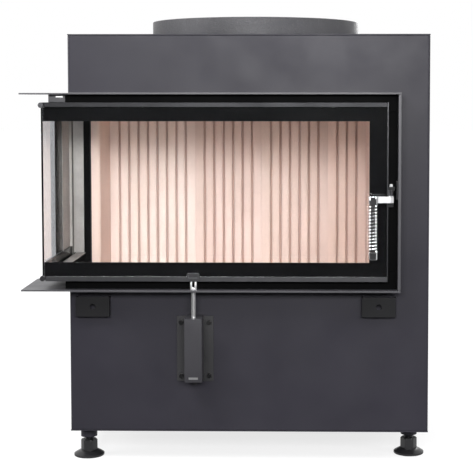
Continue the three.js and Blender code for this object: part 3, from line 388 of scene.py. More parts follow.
class Wiring:
    """A material's or the world's node tree, with short ways to add and join its nodes."""

    def __init__(self, tree: bpy.types.NodeTree) -> None:
        """Takes a tree and empties it."""
        self.tree = tree
        tree.nodes.clear()

    @functools.cached_property
    def path(self) -> bpy.types.NodeOutputs:
        """What the light path node tells."""
        return self.node("ShaderNodeLightPath").outputs

    def join(self, sockets: bpy.types.NodeInputs, values: dict[str | int, object]) -> None:
        """Fills sockets with values, or joins them to other sockets, by name or number."""
        for key, value in values.items():
            if isinstance(value, Socket):
                self.tree.links.new(value, sockets[key])
            else:
                sockets[key].default_value = value

    def node(self, kind: str, inputs: dict[str | int, object] | None = None,
             **settings: object) -> bpy.types.Node:
        """Adds a node.

        Args:
            kind: The node's type.
            inputs: Values, or output sockets to join, by the input's name or number.
            settings: The node's own settings.

        Returns:
            The node.
        """
        made = self.tree.nodes.new(kind)
        for key, value in settings.items():
            setattr(made, key, value)
        self.join(made.inputs, inputs or {})
        return made

    def span(self, value: Socket, source: Pair = MOST, result: Pair = FULL) -> Socket:
        """Maps a range onto another, clamped.

        Args:
            value: What is mapped.
            source: The range it comes from.
            result: The range it goes to.

        Returns:
            The mapped value.
        """
        return self.node("ShaderNodeMapRange", dict(enumerate((value, *source, *result)))).outputs[0]

    def sum(self, kind: str, first: Socket | float, second: Socket | float) -> Socket:
        """One step of arithmetic.

        Args:
            kind: The operation.
            first: Number or socket.
            second: Number or socket.

        Returns:
            The result.
        """
        return self.node("ShaderNodeMath", {0: first, 1: second}, operation=kind).outputs[0]

    def seen(self) -> Socket:
        """1 for the camera's own rays, also through glass, and 0 for all others."""
        bounces = self.sum("ADD", self.path["Diffuse Depth"], self.path["Glossy Depth"])
        first = self.sum("LESS_THAN", bounces, 0.5)
        straight = self.sum("MAXIMUM", self.path["Is Camera Ray"], self.path["Is Transmission Ray"])
        return self.sum("MULTIPLY", straight, first)

    def mirrored(self) -> Socket:
        """1 for rays that a shiny surface sends on and no dull one has scattered."""
        clean = self.sum("LESS_THAN", self.path["Diffuse Depth"], 0.5)
        return self.sum("MULTIPLY", self.path["Is Glossy Ray"], clean)


class Bench(Wiring):
    """A material with its principled shader, and what lays patterns on it."""

    def __init__(self, name: str) -> None:
        """Makes the material, of this name."""
        self.material = bpy.data.materials.new(name)
        self.material.use_nodes = True
        super().__init__(self.material.node_tree)
        self.shader = self.node("ShaderNodeBsdfPrincipled")
        self.exit = self.node("ShaderNodeOutputMaterial", {"Surface": self.shader.outputs[0]})
        self.place = self.node("ShaderNodeTexCoord").outputs["Object"]

    def noise(self, grain: Grain, stretch: Point = (1.0, 1.0, 1.0),
              offset: Point = (0.0, 0.0, 0.0)) -> Socket:
        """Cloudy noise in object space.

        Args:
            grain: Clouds per metre, octaves and weight of the finer ones.
            stretch: Scale along each axis.
            offset: Where the pattern starts.

        Returns:
            The noise's value.
        """
        placed = self.node("ShaderNodeMapping", {"Vector": self.place, "Scale": stretch, "Location": offset})
        inputs = dict(zip(("Scale", "Detail", "Roughness"), grain))
        return self.node("ShaderNodeTexNoise", {"Vector": placed.outputs[0], **inputs}).outputs[0]

    def cells(self, scale: float) -> bpy.types.Node:
        """Voronoi cells in object space, so many per metre."""
        return self.node("ShaderNodeTexVoronoi", {"Vector": self.place, "Scale": scale})

    def blend(self, share: Socket | float, first: Socket | Colour, second: Socket | Colour) -> Socket:
        """Mixes two colours.

        Args:
            share: Share of the second.
            first: Colour or socket.
            second: Colour or socket.

        Returns:
            The mixed colour.
        """
        inputs = {0: share, **{
            number: colour if isinstance(colour, Socket) else (*colour, 1.0)
            for number, colour in ((6, first), (7, second))
        }}
        return self.node("ShaderNodeMix", inputs, data_type="RGBA").outputs[2]

    def tones(self, share: Socket, tint: Colour, factors: Pair) -> Socket:
        """Mixes a darker and a lighter tone of one colour.

        Args:
            share: Share of the lighter one.
            tint: The colour.
            factors: What it is multiplied by for the two tones.

        Returns:
            The mixed colour.
        """
        return self.blend(share, shade(tint, factors[0]), shade(tint, factors[1]))

    def swap_shader(self, share: Socket, other: bpy.types.Node) -> None:
        """Lets another shader take the place of the first by a share."""
        shares = {0: share, 1: self.shader.outputs[0], 2: other.outputs[0]}
        mixed = self.node("ShaderNodeMixShader", shares)
        self.tree.links.new(mixed.outputs[0], self.exit.inputs["Surface"])

    def raise_surface(self, height: Socket, distance: float, strength: float = 1.0) -> None:
        """Bumps the surface.

        Args:
            height: The height pattern.
            distance: Metres between its lowest and highest point.
            strength: Share of the effect.
        """
        inputs = {"Height": height, "Distance": distance, "Strength": strength}
        if self.shader.inputs["Normal"].is_linked:
            inputs["Normal"] = self.shader.inputs["Normal"].links[0].from_socket
        bump = self.node("ShaderNodeBump", inputs)
        self.tree.links.new(bump.outputs[0], self.shader.inputs["Normal"])

    def dress(self, **inputs: object) -> bpy.types.Material:
        """Fills the shader's inputs.

        Args:
            inputs: Values or sockets by name, with _ for a space.

        Returns:
            The material.
        """
        self.join(self.shader.inputs, {name.replace("_", " "): value for name, value in inputs.items()})
        return self.material


def shade(colour: Colour, share: float) -> Colour:
    """A colour made lighter or darker by a factor."""
    red, green, blue = colour
    return (red * share, green * share, blue * share)


@dataclass(frozen=True)
class SprayedPaint:
    """Heat-proof paint sprayed on sheet steel: faint clouds, a fine grain and uneven gloss."""

    name: str
    tint: Colour
    gloss: Pair = (0.42, 0.56)
    clouds: float = 0.14
    grain: float = 0.00002
    dust: float = 0.05
    coarse: float = 950.0
    speck: float = 2300.0
    sheen: float = 0.5
    cloud_grain: Grain = (3.1, 5.0, 0.55)
    gloss_grain: Grain = (11.0, 6.0, 0.6)
    dust_tint: Colour = (0.5, 0.5, 0.52)
    dusty_from: Pair = (0.55, 0.75)
    speck_start: Point = (3.0, 1.0, 2.0)

    @functools.cache
    def material(self) -> bpy.types.Material:
        """Clouds mix two tones and specks of dust lie on them; grain raises the surface."""
        bench = Bench(self.name)
        cloud = bench.noise(self.cloud_grain)
        fine = bench.noise((self.coarse, 3.0, 0.6))
        speck = bench.noise((self.speck, 2.0, 0.5), offset=self.speck_start)
        tone = bench.tones(bench.span(cloud), self.tint, (1 - self.clouds, 1 + self.clouds))
        dusty = bench.blend(bench.span(speck, self.dusty_from, (0.0, self.dust)), tone, self.dust_tint)
        bench.raise_surface(fine, self.grain)
        return bench.dress(
            Base_Color=dusty,
            Roughness=bench.span(bench.noise(self.gloss_grain), MOST, self.gloss),
            Specular_IOR_Level=self.sheen,
        )


@dataclass(frozen=True)
class BareSteel:
    """Rolled or ground steel with fine lines along one direction."""

    name: str
    tint: Colour
    stretch: Point = (1.0, 1.0, 40.0)
    gloss: Pair = (0.28, 0.45)
    metal: float = 1.0
    line_grain: Grain = (160.0, 6.0, 0.65)
    line_from: Pair = (0.35, 0.65)
    line_share: float = 0.35
    line_shade: float = 0.6
    line_depth: float = 0.00003
    stain_grain: Grain = (14.0, 5.0, 0.6)
    stain_start: Point = (2.0, 5.0, 1.0)
    stain_tones: Pair = (0.78, 1.15)

    @functools.cache
    def material(self) -> bpy.types.Material:
        """Stretched noise gives the grinding lines, round noise the stains."""
        bench = Bench(self.name)
        line = bench.noise(self.line_grain, self.stretch)
        stain = bench.noise(self.stain_grain, offset=self.stain_start)
        tone = bench.tones(bench.span(stain), self.tint, self.stain_tones)
        share = bench.span(line, self.line_from, (0.0, self.line_share))
        lined = bench.blend(share, tone, shade(self.tint, self.line_shade))
        bench.raise_surface(line, self.line_depth)
        return bench.dress(
            Base_Color=lined, Roughness=bench.span(line, MOST, self.gloss), Metallic=self.metal
        )


@dataclass(frozen=True)
class PolishedChrome:
    """Bright chrome plate with the faintest haze."""

    name: str
    tint: Colour = (0.82, 0.83, 0.84)
    gloss: Pair = (0.06, 0.13)
    haze_grain: Grain = (60.0, 4.0, 0.55)
    haze_from: Pair = (0.35, 0.75)
    haze_tones: Pair = (0.92, 1.0)
    ripple_grain: Grain = (240.0, 2.0, 0.55)
    ripple: float = 0.000003

    @functools.cache
    def material(self) -> bpy.types.Material:
        """Fine noise clouds the gloss in places."""
        bench = Bench(self.name)
        haze = bench.noise(self.haze_grain)
        tone = bench.tones(bench.span(haze), self.tint, self.haze_tones)
        bench.raise_surface(bench.noise(self.ripple_grain), self.ripple)
        return bench.dress(
            Base_Color=tone, Roughness=bench.span(haze, self.haze_from, self.gloss), Metallic=1.0
        )


@dataclass(frozen=True)
class PressedClay:
    """Fireclay: a dry pink-beige body with paler and darker grains and a sandy skin."""

    name: str
    tint: Colour
    shift: float = 0.0
    grooves_from: float | None = None
    gloss: Pair = (0.82, 0.98)
    cloud_grain: Grain = (5.0, 6.0, 0.6)
    cloud_shade: float = 0.9
    cloud_light: Colour = (1.06, 1.08, 1.1)
    sand_grain: Grain = (700.0, 3.0, 0.7)
    sand_from: Pair = (0.42, 0.62)
    sand_share: float = 0.22
    sand_shade: float = 0.62
    sand_height: float = 0.00008
    pits: float = 420.0
    pit_reach: float = 0.22
    pit_share: float = 0.3
    pit_shade: float = 0.5
    pit_depth: Pair = (0.00006, 0.7)
    # Painted shade in the grooves: its colour, its strongest share, and the depths behind the face where it
    # starts and is full.
    groove_shade_tint: Colour = (0.28, 0.15, 0.11)
    groove_shade_share: float = 0.6
    groove_shade_depths: Pair = (2.0 * MM, 6.5 * MM)

    @functools.cache
    def material(self) -> bpy.types.Material:
        """Broad clouds, sand, small pits, and painted shade that darkens the grooves with their depth."""
        bench = Bench(self.name)
        start = (self.shift, 2 * self.shift, -self.shift)
        cloud = bench.noise(self.cloud_grain, offset=start)
        sand = bench.noise(self.sand_grain, offset=start)
        pit = bench.span(bench.cells(self.pits).outputs["Distance"], (0.0, self.pit_reach))
        light = tuple(part * factor for part, factor in zip(self.tint, self.cloud_light))
        tone = bench.blend(bench.span(cloud), shade(self.tint, self.cloud_shade), light)
        sandy = bench.blend(
            bench.span(sand, self.sand_from, (0.0, self.sand_share)), tone, shade(self.tint, self.sand_shade)
        )
        skin = bench.blend(
            bench.span(pit, FULL, (self.pit_share, 0.0)), sandy, shade(self.tint, self.pit_shade)
        )
        # Painted shade: the grooves darken with their depth behind the plate's face.
        if self.grooves_from is not None:
            behind = bench.node("ShaderNodeSeparateXYZ", {0: bench.place}).outputs["Y"]
            near, far = (self.grooves_from + depth for depth in self.groove_shade_depths)
            skin = bench.blend(
                bench.span(behind, (near, far), (0.0, self.groove_shade_share)), skin, self.groove_shade_tint
            )
        bench.raise_surface(sand, self.sand_height)
        bench.raise_surface(pit, *self.pit_depth)
        return bench.dress(Base_Color=skin, Roughness=bench.span(sand, MOST, self.gloss))


@dataclass(frozen=True)
class PressedFlake:
    """Vermiculite board: golden flakes pressed flat."""

    name: str
    tint: Colour
    gloss: Pair = (0.7, 0.95)
    gloss_grain: Grain = (90.0, 4.0, 0.55)
    flakes: float = 260.0
    flake_from: Pair = (0.2, 0.9)
    flake_tones: Pair = (0.6, 1.3)
    flake_height: float = 0.0004

    @functools.cache
    def material(self) -> bpy.types.Material:
        """Voronoi cells give each flake its own tone and level."""
        bench = Bench(self.name)
        flake = bench.cells(self.flakes).outputs
        tone = bench.tones(bench.span(flake["Color"], self.flake_from), self.tint, self.flake_tones)
        bench.raise_surface(flake["Distance"], self.flake_height)
        return bench.dress(
            Base_Color=tone, Roughness=bench.span(bench.noise(self.gloss_grain), MOST, self.gloss)
        )


@dataclass(frozen=True)
class ClearPane:
    """Clear glass ceramic. Light from the lamps goes straight through it."""

    name: str
    tint: Colour = (0.96, 0.975, 0.965)
    smear_grain: Grain = (7.0, 5.0, 0.6)
    smear_from: Pair = (0.45, 0.8)
    smear_tones: Pair = (0.985, 1.0)
    smear_gloss: Pair = (0.0, 0.02)
    shadow: float = 0.97
    index: float = 1.46

    @functools.cache
    def material(self) -> bpy.types.Material:
        """A transmitting shader, with a transparent one in its place for the lamps' shadows."""
        bench = Bench(self.name)
        smear = bench.noise(self.smear_grain)
        bench.dress(
            Base_Color=bench.tones(bench.span(smear), self.tint, self.smear_tones),
            Roughness=bench.span(smear, self.smear_from, self.smear_gloss),
            Transmission_Weight=1.0, IOR=self.index,
        )
        colour = (*shade(self.tint, self.shadow), 1.0)
        through = bench.node("ShaderNodeBsdfTransparent", {"Color": colour})
        bench.swap_shader(bench.path["Is Shadow Ray"], through)
        return bench.material


@dataclass(frozen=True)
class GlassYarn:
    """Twisted glass yarn, charcoal, with fibres that catch the light."""

    name: str
    tint: Colour
    gloss: Pair = (0.8, 1.0)
    fibre_grain: Grain = (1800.0, 4.0, 0.7)
    fibre_from: Pair = (0.35, 0.68)
    fibre_tones: Pair = (0.55, 1.9)
    fibre_height: float = 0.0003

    @functools.cache
    def material(self) -> bpy.types.Material:
        """Fine noise lightens single fibres and roughens the strands."""
        bench = Bench(self.name)
        fibre = bench.noise(self.fibre_grain)
        tone = bench.tones(bench.span(fibre, self.fibre_from), self.tint, self.fibre_tones)
        bench.raise_surface(fibre, self.fibre_height)
        return bench.dress(Base_Color=tone, Roughness=bench.span(fibre, MOST, self.gloss))


CLAY_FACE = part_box("back_brick_1")[0][1]
CASING_PAINT = SprayedPaint(
    "casing_paint_sprayed", (0.0178, 0.0166, 0.0235), (0.4, 0.52), dust=0.02, sheen=0.26
)
COLLAR_PAINT = SprayedPaint(
    "collar_paint_hammered", (0.026, 0.0255, 0.0295), (0.3, 0.42), 0.5, 0.0013, 0.07, 330.0, 400.0, 0.4
)
SURROUND_PAINT = SprayedPaint("surround_paint_sprayed", (0.042, 0.041, 0.047), (0.34, 0.46))
# The brackets' paint, much darker than the casing's: painted shade under the bottom plate.
BRACKET_SHADED_PAINT = SprayedPaint(
    "bracket_paint_painted_shade", (0.006, 0.006, 0.007), (0.45, 0.6), 0.2, dust=0.01, sheen=0.2
)
# Black paint made darker still: partly painted shade in the gaps round the door.
FRAME_PAINT_AND_SHADE = SprayedPaint(
    "frame_paint_black_and_painted_shade", (0.0012, 0.0012, 0.0014), (0.5, 0.62), 0.25, 0.000006, 0.002, sheen=0.035
)
ENAMEL = SprayedPaint(
    "enamel_black", (0.0016, 0.0016, 0.002), (0.1, 0.16), 0.15, 0.000001, 0.002, sheen=0.12
)
COVER_PAINT = SprayedPaint("cover_paint_black", (0.03, 0.029, 0.034), (0.35, 0.5), 0.12)
AIR_PLATE_PAINT = SprayedPaint("air_plate_paint_black", (0.012, 0.0117, 0.0135), (0.4, 0.55), 0.12)
FOOT_COAT = SprayedPaint("foot_coat_black", (0.010, 0.010, 0.011), (0.25, 0.4), 0.2)
RAIL_STEEL = BareSteel("rail_steel_blued", (0.10, 0.10, 0.106), (1.0, 40.0, 40.0), (0.3, 0.42))
# The rail steel made much darker, for the top rail alone: painted shade.
RAIL_SHADED = BareSteel("rail_steel_painted_shade", (0.028, 0.028, 0.03), (1.0, 40.0, 40.0), (0.3, 0.42))
EDGE_STEEL = BareSteel("edge_steel_blued", (0.06, 0.06, 0.064), (40.0, 40.0, 1.0), (0.3, 0.42))
TUBE_STEEL = BareSteel("tube_steel_blued", (0.09, 0.09, 0.095), (40.0, 1.0, 40.0), (0.25, 0.4))
PLATE_STEEL = BareSteel("plate_steel_rolled", (0.09, 0.09, 0.095), (6.0, 6.0, 40.0), (0.35, 0.55))
# Near-black coat; on the grip's slim core it is painted shade, on the bolt heads partly painted shade.
BLACK_COAT_AND_SHADE = SprayedPaint("black_coat_and_painted_shade", (0.004, 0.004, 0.0045), (0.25, 0.35), 0.1, dust=0.01)
NAME_STEEL = BareSteel("bare_plate_steel", (0.3, 0.3, 0.305), (1.0, 40.0, 40.0), (0.35, 0.5), 0.6)
# Pale steel for the strips by the seal and the side pane; its pale tone is partly painted reflection of the
# white surroundings.
PALE_STEEL_PAINTED_REFLECTION = BareSteel("pale_steel_painted_reflection", (0.36, 0.335, 0.33), (40.0, 40.0, 2.0), (0.4, 0.6), 0.3)
CHROME = PolishedChrome("chrome_plate")
SATIN = PolishedChrome("chrome_satin", (0.86, 0.86, 0.87), (0.29, 0.35))
CLAY_TINTS = ((0.81, 0.665, 0.625), (0.70, 0.54, 0.50), (0.70, 0.54, 0.495), (0.77, 0.585, 0.53))
CLAYS = tuple(
    PressedClay(f"fireclay_pressed_{number}", tint, float(number), CLAY_FACE)
    for number, tint in enumerate(CLAY_TINTS, 1)
)
SMOOTH_CLAY = PressedClay("fireclay_smooth", (0.75, 0.57, 0.51), 5.0)
HEARTH_CLAY = PressedClay("fireclay_hearth", (0.66, 0.51, 0.44), 7.0)
FLAKE_BOARD = PressedFlake("vermiculite_pressed", (0.5, 0.4, 0.26))
PANE = ClearPane("pane_clear")
# The clear pane made darker and bluer for the side pane: painted shade on what is seen through it.
SIDE_PANE_SHADED = ClearPane("pane_clear_side_painted_shade", (0.76, 0.765, 0.80))
YARN = GlassYarn("yarn_charcoal", (0.06, 0.057, 0.054))

Finish = SprayedPaint | BareSteel | PolishedChrome | PressedClay | PressedFlake | ClearPane | GlassYarn


# ---------------------------------------------------------------- placing pieces


def place(mesh: bpy.types.Mesh, finish: Finish, slot: Slot, node: str, body: Body) -> bpy.types.Object:
    """Puts a finished mesh into the scene, as a piece of the same name.

    Args:
        mesh: The mesh, in the frame's own place.
        finish: What it is finished with.
        slot: The record's slot for that; not used.
        node: The CAD node it stands for, or no name for a piece of the scene alone.
        body: The body it moves with.

    Returns:
        The piece.
    """
    piece = bpy.data.objects.new(mesh.name, mesh)
    bpy.context.scene.collection.objects.link(piece)
    mesh.materials.append(finish.material())
    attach(piece, body.value)
    if node:
        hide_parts(node)
    LOG.info("%s: %d faces, rides on %s", piece.name, len(mesh.polygons), body.value)
    return piece


def settle(work: Patchwork, name: str, finish: Finish, slot: Slot, node: str = "",
           body: Body = Body.CASING) -> bpy.types.Object:
    """Meshes what a patchwork holds and puts it into the scene; see place for the rest."""
    return place(work.mesh(name), finish, slot, node, body)


def eased(node: str, name: str, finish: Finish, slot: Slot, ease: float = 0.6 * MM, steps: int = 2,
          body: Body = Body.CASING) -> bpy.types.Object:
    """A piece cut to the shape of its CAD node, with its seams welded and its edges eased by a bevel.

    Args:
        node: The CAD node it stands for.
        name: Name of the piece.
        finish: What it is finished with.
        slot: The record's slot for that.
        ease: Width of the bevel.
        steps: Segments of the bevel.
        body: The body it moves with.

    Returns:
        The piece.
    """
    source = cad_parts[node].data
    points = np.empty(len(source.vertices) * 3)
    source.vertices.foreach_get("co", points)
    corners = np.empty(len(source.loops), dtype=int)
    source.loops.foreach_get("vertex_index", corners)
    mesh = welded(
        name, points, corners.reshape(-1, 3).tolist(),
        lambda work: bmesh.ops.dissolve_limit(work, angle_limit=FLAT, verts=work.verts, edges=work.edges),
    )
    piece = place(mesh, finish, slot, node, body)
    bevel = piece.modifiers.new("eased_edges", "BEVEL")
    bevel.width = ease
    bevel.segments = steps
    bevel.limit_method = "ANGLE"
    bevel.angle_limit = CREASE
    bevel.use_clamp_overlap = True
    bevel.harden_normals = True
    return piece


def plank(name: str, low: Sequence[float], high: Sequence[float], finish: Finish, slot: Slot,
          ease: float = 0.0, body: Body = Body.CASING) -> bpy.types.Object:
    """A plain flat bar between two corners, a piece of the scene alone.

    Args:
        name: Name of the piece.
        low: Its lowest corner.
        high: Its highest corner.
        finish: What it is finished with.
        slot: The record's slot for that.
        ease: Radius of its upper and lower rims.
        body: The body it moves with.

    Returns:
        The piece.
    """
    outline = np.array([(low[0], low[1]), (high[0], low[1]), (high[0], high[1]), (low[0], high[1])])
    work = Patchwork()
    work.prism(outline, low[2], high[2], ease=ease)
    return settle(work, name, finish, slot, body=body)


# ---------------------------------------------------------------- sub-assemblies


@dataclass
class Casing:
    """The sheet steel box, its base with the bosses, and the round collar on its lid."""

    collar_wall: float = 5 * MM
    collar_plate: float = 3 * MM
    collar_drop: float = 30 * MM
    collar_sides: int = 220
    throat: float = 100.3 * MM
    rim_round: float = 1.6 * MM
    rim_steps: int = 9
    spigot: float = 100 * MM
    spigot_height: float = 41.3 * MM
    spigot_sides: int = 128
    hood_reach: float = 65 * MM
    flue_wall: float = 2.5 * MM
    sheets: dict[str, float] = field(default_factory=lambda: {
        "casing_front": 2.4, "casing_left": 0.5, "casing_right": 0.5, "casing_back": 0.6,
        "casing_top": 0.8, "casing_base": 0.7,
    })

    def build(self) -> None:
        """Builds sheets, collar and flue."""
        for node, ease in self.sheets.items():
            eased(node, f"{node}_sheet", CASING_PAINT, Slot.CASING, ease * MM)
        self.collar()
        self.flue()

    def collar(self) -> None:
        """The collar: an L-shaped section turned about the flue's axis, every edge rounded."""
        ring = Span.of("collar_ring")
        axis, radius = ring.middle, ring.size[0] / 2
        low, high = ring.low[2], ring.high[2]
        half, soft = self.collar_wall / 2, self.rim_round
        arc = np.linspace(0, math.pi, self.rim_steps)
        crown = np.column_stack([radius - half + half * np.cos(arc), high - soft + soft * np.sin(arc)])
        rim, under = radius - self.collar_wall, high - self.collar_drop
        over = under + self.collar_plate
        section = np.concatenate([
            [(radius, low)], crown,
            [(rim, over), (self.throat, over), (self.throat, under), (rim, under), (rim, low)],
        ])
        work = Patchwork()
        work.lathe(section, axis[:2], self.collar_sides, closed=True)
        settle(work, "collar_turned", COLLAR_PAINT, Slot.CASING, "collar_ring")

    def flue(self) -> None:
        """The smoke hood: each ring point goes straight from the square opening to the round spigot."""
        hood, ring = Span.of("flue_hood"), Span.of("collar_ring")
        angle = np.linspace(0, TURN, self.spigot_sides, endpoint=False)
        way = np.column_stack([np.cos(angle), np.sin(angle)])
        half = np.array([hood.size[0] / 2, self.hood_reach])
        foot = np.array([hood.middle[0], hood.high[1] - half[1]])
        low, high = hood.low[2], hood.high[2]
        throat = high - self.spigot_height

        def ring_at(level: float, inset: float) -> np.ndarray:
            """One ring of the hood, square at its foot and round above."""
            if level == low:
                centre, reach = foot, 1 / np.max(np.abs(way) / (half - inset), axis=1)
            else:
                centre, reach = ring.middle[:2], np.full(len(way), self.spigot - inset)
            return np.column_stack([centre + way * reach[:, None], np.full(len(way), level)])

        levels = (low, throat, high, high, throat, low)
        insets = (0, 0, 0, self.flue_wall, self.flue_wall, self.flue_wall)
        work = Patchwork()
        work.grid(np.stack([ring_at(*row) for row in zip(levels, insets)]), wrap_u=True, wrap_v=True)
        settle(work, "flue_hood_welded", PLATE_STEEL, Slot.STEEL, "flue_hood")


@dataclass
class Firebox:
    """Steel plates behind the lining."""

    plates: tuple[str, ...] = ("firebox_floor", "firebox_back", "firebox_right", "firebox_ceiling")

    def build(self) -> None:
        """Builds the plates."""
        for node in self.plates:
            eased(node, f"{node}_plate", PLATE_STEEL, Slot.STEEL)


@dataclass
class Lining:
    """Fluted fireclay plates, smooth bricks, the hearth tub and the baffle."""

    pitch: float = 27.4 * MM
    groove: float = 5.0 * MM
    depth: float = 7.0 * MM
    lean: float = 1.2 * MM
    lip: float = 1.1 * MM
    lip_steps: int = 4
    ribs: tuple[int, ...] = (9, 7, 7, 4)
    rim: float = 0.8 * MM
    brick_round: float = 9.0 * MM
    brick_steps: int = 14
    smooth: dict[str, tuple[str, Finish, Slot, float, int]] = field(default_factory=lambda: {
        "right_brick": ("right_brick_smooth", SMOOTH_CLAY, Slot.CLAY, 1.5, 3),
        "hearth_brick_1": ("hearth_brick_1_slab", HEARTH_CLAY, Slot.CLAY, 1.5, 3),
        "hearth_brick_2": ("hearth_brick_2_slab", HEARTH_CLAY, Slot.CLAY, 1.5, 3),
        "hearth_slope_left": ("hearth_slope_left_wedge", HEARTH_CLAY, Slot.CLAY, 1.5, 3),
        "hearth_slope_front": ("hearth_slope_front_wedge", HEARTH_CLAY, Slot.CLAY, 1.5, 3),
        "baffle_brick": ("baffle_board", FLAKE_BOARD, Slot.FLAKE, 1.0, 2),
    })

    def fluted_outline(self, span: Span, ribs: int) -> np.ndarray:
        """Plan of a fluted plate, anticlockwise from its front left corner.

        Groove k is centred at k * pitch; each lip is a quarter circle between the face and the leaning wall.

        Args:
            span: The plate's box.
            ribs: Ribs across it.

        Returns:
            Outline (x, y).
        """
        left, right, face, back = span.low[0], span.high[0], span.low[1], span.high[1]
        turns = np.linspace(0, math.pi / 2, self.lip_steps)
        lip, half = self.lip, self.groove / 2
        edge = half + self.lean
        fall = np.column_stack([-edge - lip + lip * np.sin(turns), lip * (1 - np.cos(turns))])
        heel = np.column_stack([-half + lip * (1 - np.cos(turns)), self.depth - lip * (1 - np.sin(turns))])
        mirror = np.array([-1.0, 1.0])
        notch = np.concatenate([fall, heel, heel[::-1] * mirror, fall[::-1] * mirror])
        centres = left + np.arange(1, ribs) * self.pitch
        notches = notch[None] + np.stack([centres, np.full(len(centres), face)], axis=1)[:, None]
        corners = [(right, face), (right, back), (left, back)]
        return np.concatenate([[(left, face)], notches.reshape(-1, 2), corners])

    def build(self) -> None:
        """Builds all bricks."""
        for number, (ribs, clay) in enumerate(zip(self.ribs, CLAYS), 1):
            node = f"back_brick_{number}"
            span = Span.of(node)
            work = Patchwork()
            work.prism(self.fluted_outline(span, ribs), span.low[2], span.high[2], ease=self.rim)
            settle(work, f"{node}_fluted", clay, Slot.CLAY, node)
        self.left_brick()
        for node, (name, finish, slot, ease, steps) in self.smooth.items():
            eased(node, name, finish, slot, ease * MM, steps)

    def left_brick(self) -> None:
        """The smooth brick at the left, its front edge a quarter circle."""
        span = Span.of("left_brick")
        turns = np.linspace(-math.pi / 2, 0, self.brick_steps)
        centre = np.array([span.high[0] - self.brick_round, span.low[1] + self.brick_round])
        nose = centre + self.brick_round * np.column_stack([np.cos(turns), np.sin(turns)])
        rear = [(span.high[0], span.high[1]), (span.low[0], span.high[1])]
        outline = np.concatenate([[(span.low[0], span.low[1])], nose, rear])
        work = Patchwork()
        work.prism(outline, span.low[2], span.high[2], ease=self.rim)
        settle(work, "left_brick_rounded", SMOOTH_CLAY, Slot.CLAY, "left_brick")


@dataclass
class Surround:
    """The flat plates round the door with their wings, the brackets below, and the fixed frame inside."""

    plates: tuple[str, ...] = (
        "surround_top", "surround_bottom", "surround_side", "wing_top", "wing_bottom"
    )
    rails: tuple[str, ...] = ("frame_sill", "frame_header", "frame_jamb", "frame_post")
    brackets: tuple[str, ...] = ("facing_bracket_left", "facing_bracket_right")
    hinges: tuple[str, ...] = ("hinge_bracket_bottom", "hinge_bracket_top")
    riser_sheet: float = 2.0 * MM
    riser_under: float = 907.0 * MM
    slot_size: Pair = (17.5 * MM, 3.4 * MM)
    slot_place: Pair = (27 * MM, 5 * MM)
    slot_sheet: float = 0.6 * MM
    strip: float = 1.0 * MM
    strip_ease: float = 0.2 * MM
    gap: float = 0.1 * MM
    recess: float = 4 * MM
    post_strip: Pair = (5 * MM, 39 * MM)
    post_play: float = 0.3 * MM
    ledge_width: float = 26 * MM
    ledge_play: float = 0.5 * MM

    def build(self) -> None:
        """Builds plates, frame and brackets."""
        for node in self.plates:
            eased(node, f"{node}_plate", SURROUND_PAINT, Slot.SURROUND, 0.7 * MM)
        # The frame in its darkened black paint: partly painted shade in the gaps round the door.
        for node in self.rails:
            eased(node, f"{node}_folded", FRAME_PAINT_AND_SHADE, Slot.BLACK, 0.8 * MM)
        # The brackets in their darker paint: painted shade under the bottom plate.
        for node in self.brackets:
            eased(node, f"{node}_folded", BRACKET_SHADED_PAINT, Slot.CASING, 1.2 * MM, 3)
        eased("latch_keeper", "latch_keeper_block", BLACK_COAT_AND_SHADE, Slot.STEEL, 0.8 * MM)
        for node in self.hinges:
            eased(node, f"{node}_welded", PLATE_STEEL, Slot.STEEL)
        self.slotted_riser()
        self.seal_strips()

    def slotted_riser(self) -> None:
        """The short plate between the top wing and the header's left end, in four bars round its slot."""
        header, casing = Span.of("frame_header"), Span.of("casing_left")
        left, right = header.low[0] + self.gap, casing.low[0]
        low, high = self.riser_under, header.high[2] - self.gap
        back = header.low[1] - self.gap
        front = back - self.riser_sheet
        middle, level = left + self.slot_place[0], high - self.slot_place[1]
        start, stop = middle - self.slot_size[0] / 2, middle + self.slot_size[0] / 2
        under, over = level - self.slot_size[1] / 2, level + self.slot_size[1] / 2
        bars = (
            (left, right, low, under), (left, right, over, high),
            (left, start, under, over), (stop, right, under, over),
        )
        for number, (x0, x1, z0, z1) in enumerate(bars, 1):
            plank(f"riser_bar_{number}", (x0, front, z0), (x1, back, z1), SURROUND_PAINT, Slot.SURROUND)
        plank("riser_slot", (start, back - self.slot_sheet, under), (stop, back, over), SATIN, Slot.CHROME)

    def seal_strips(self) -> None:
        """Strips the seal bears on, up the post and along the side ledge: bare steel and painted reflection.
        """
        post, sill, header = Span.of("frame_post"), Span.of("frame_sill"), Span.of("frame_header")
        face = post.low[1] + self.recess - self.gap
        under = sill.high[2] + self.gap
        over = under + self.strip
        start, stop = self.post_strip
        left = sill.low[0] + self.ledge_play
        plank("post_strip", (post.low[0] + start, face - self.strip, over),
              (post.low[0] + stop - self.post_play, face, header.low[2] - self.gap),
              PALE_STEEL_PAINTED_REFLECTION, Slot.STEEL, self.strip_ease)
        plank("ledge_strip", (left, sill.low[1] + self.recess, under),
              (left + self.ledge_width, face - self.strip, over), PALE_STEEL_PAINTED_REFLECTION, Slot.STEEL, self.strip_ease)


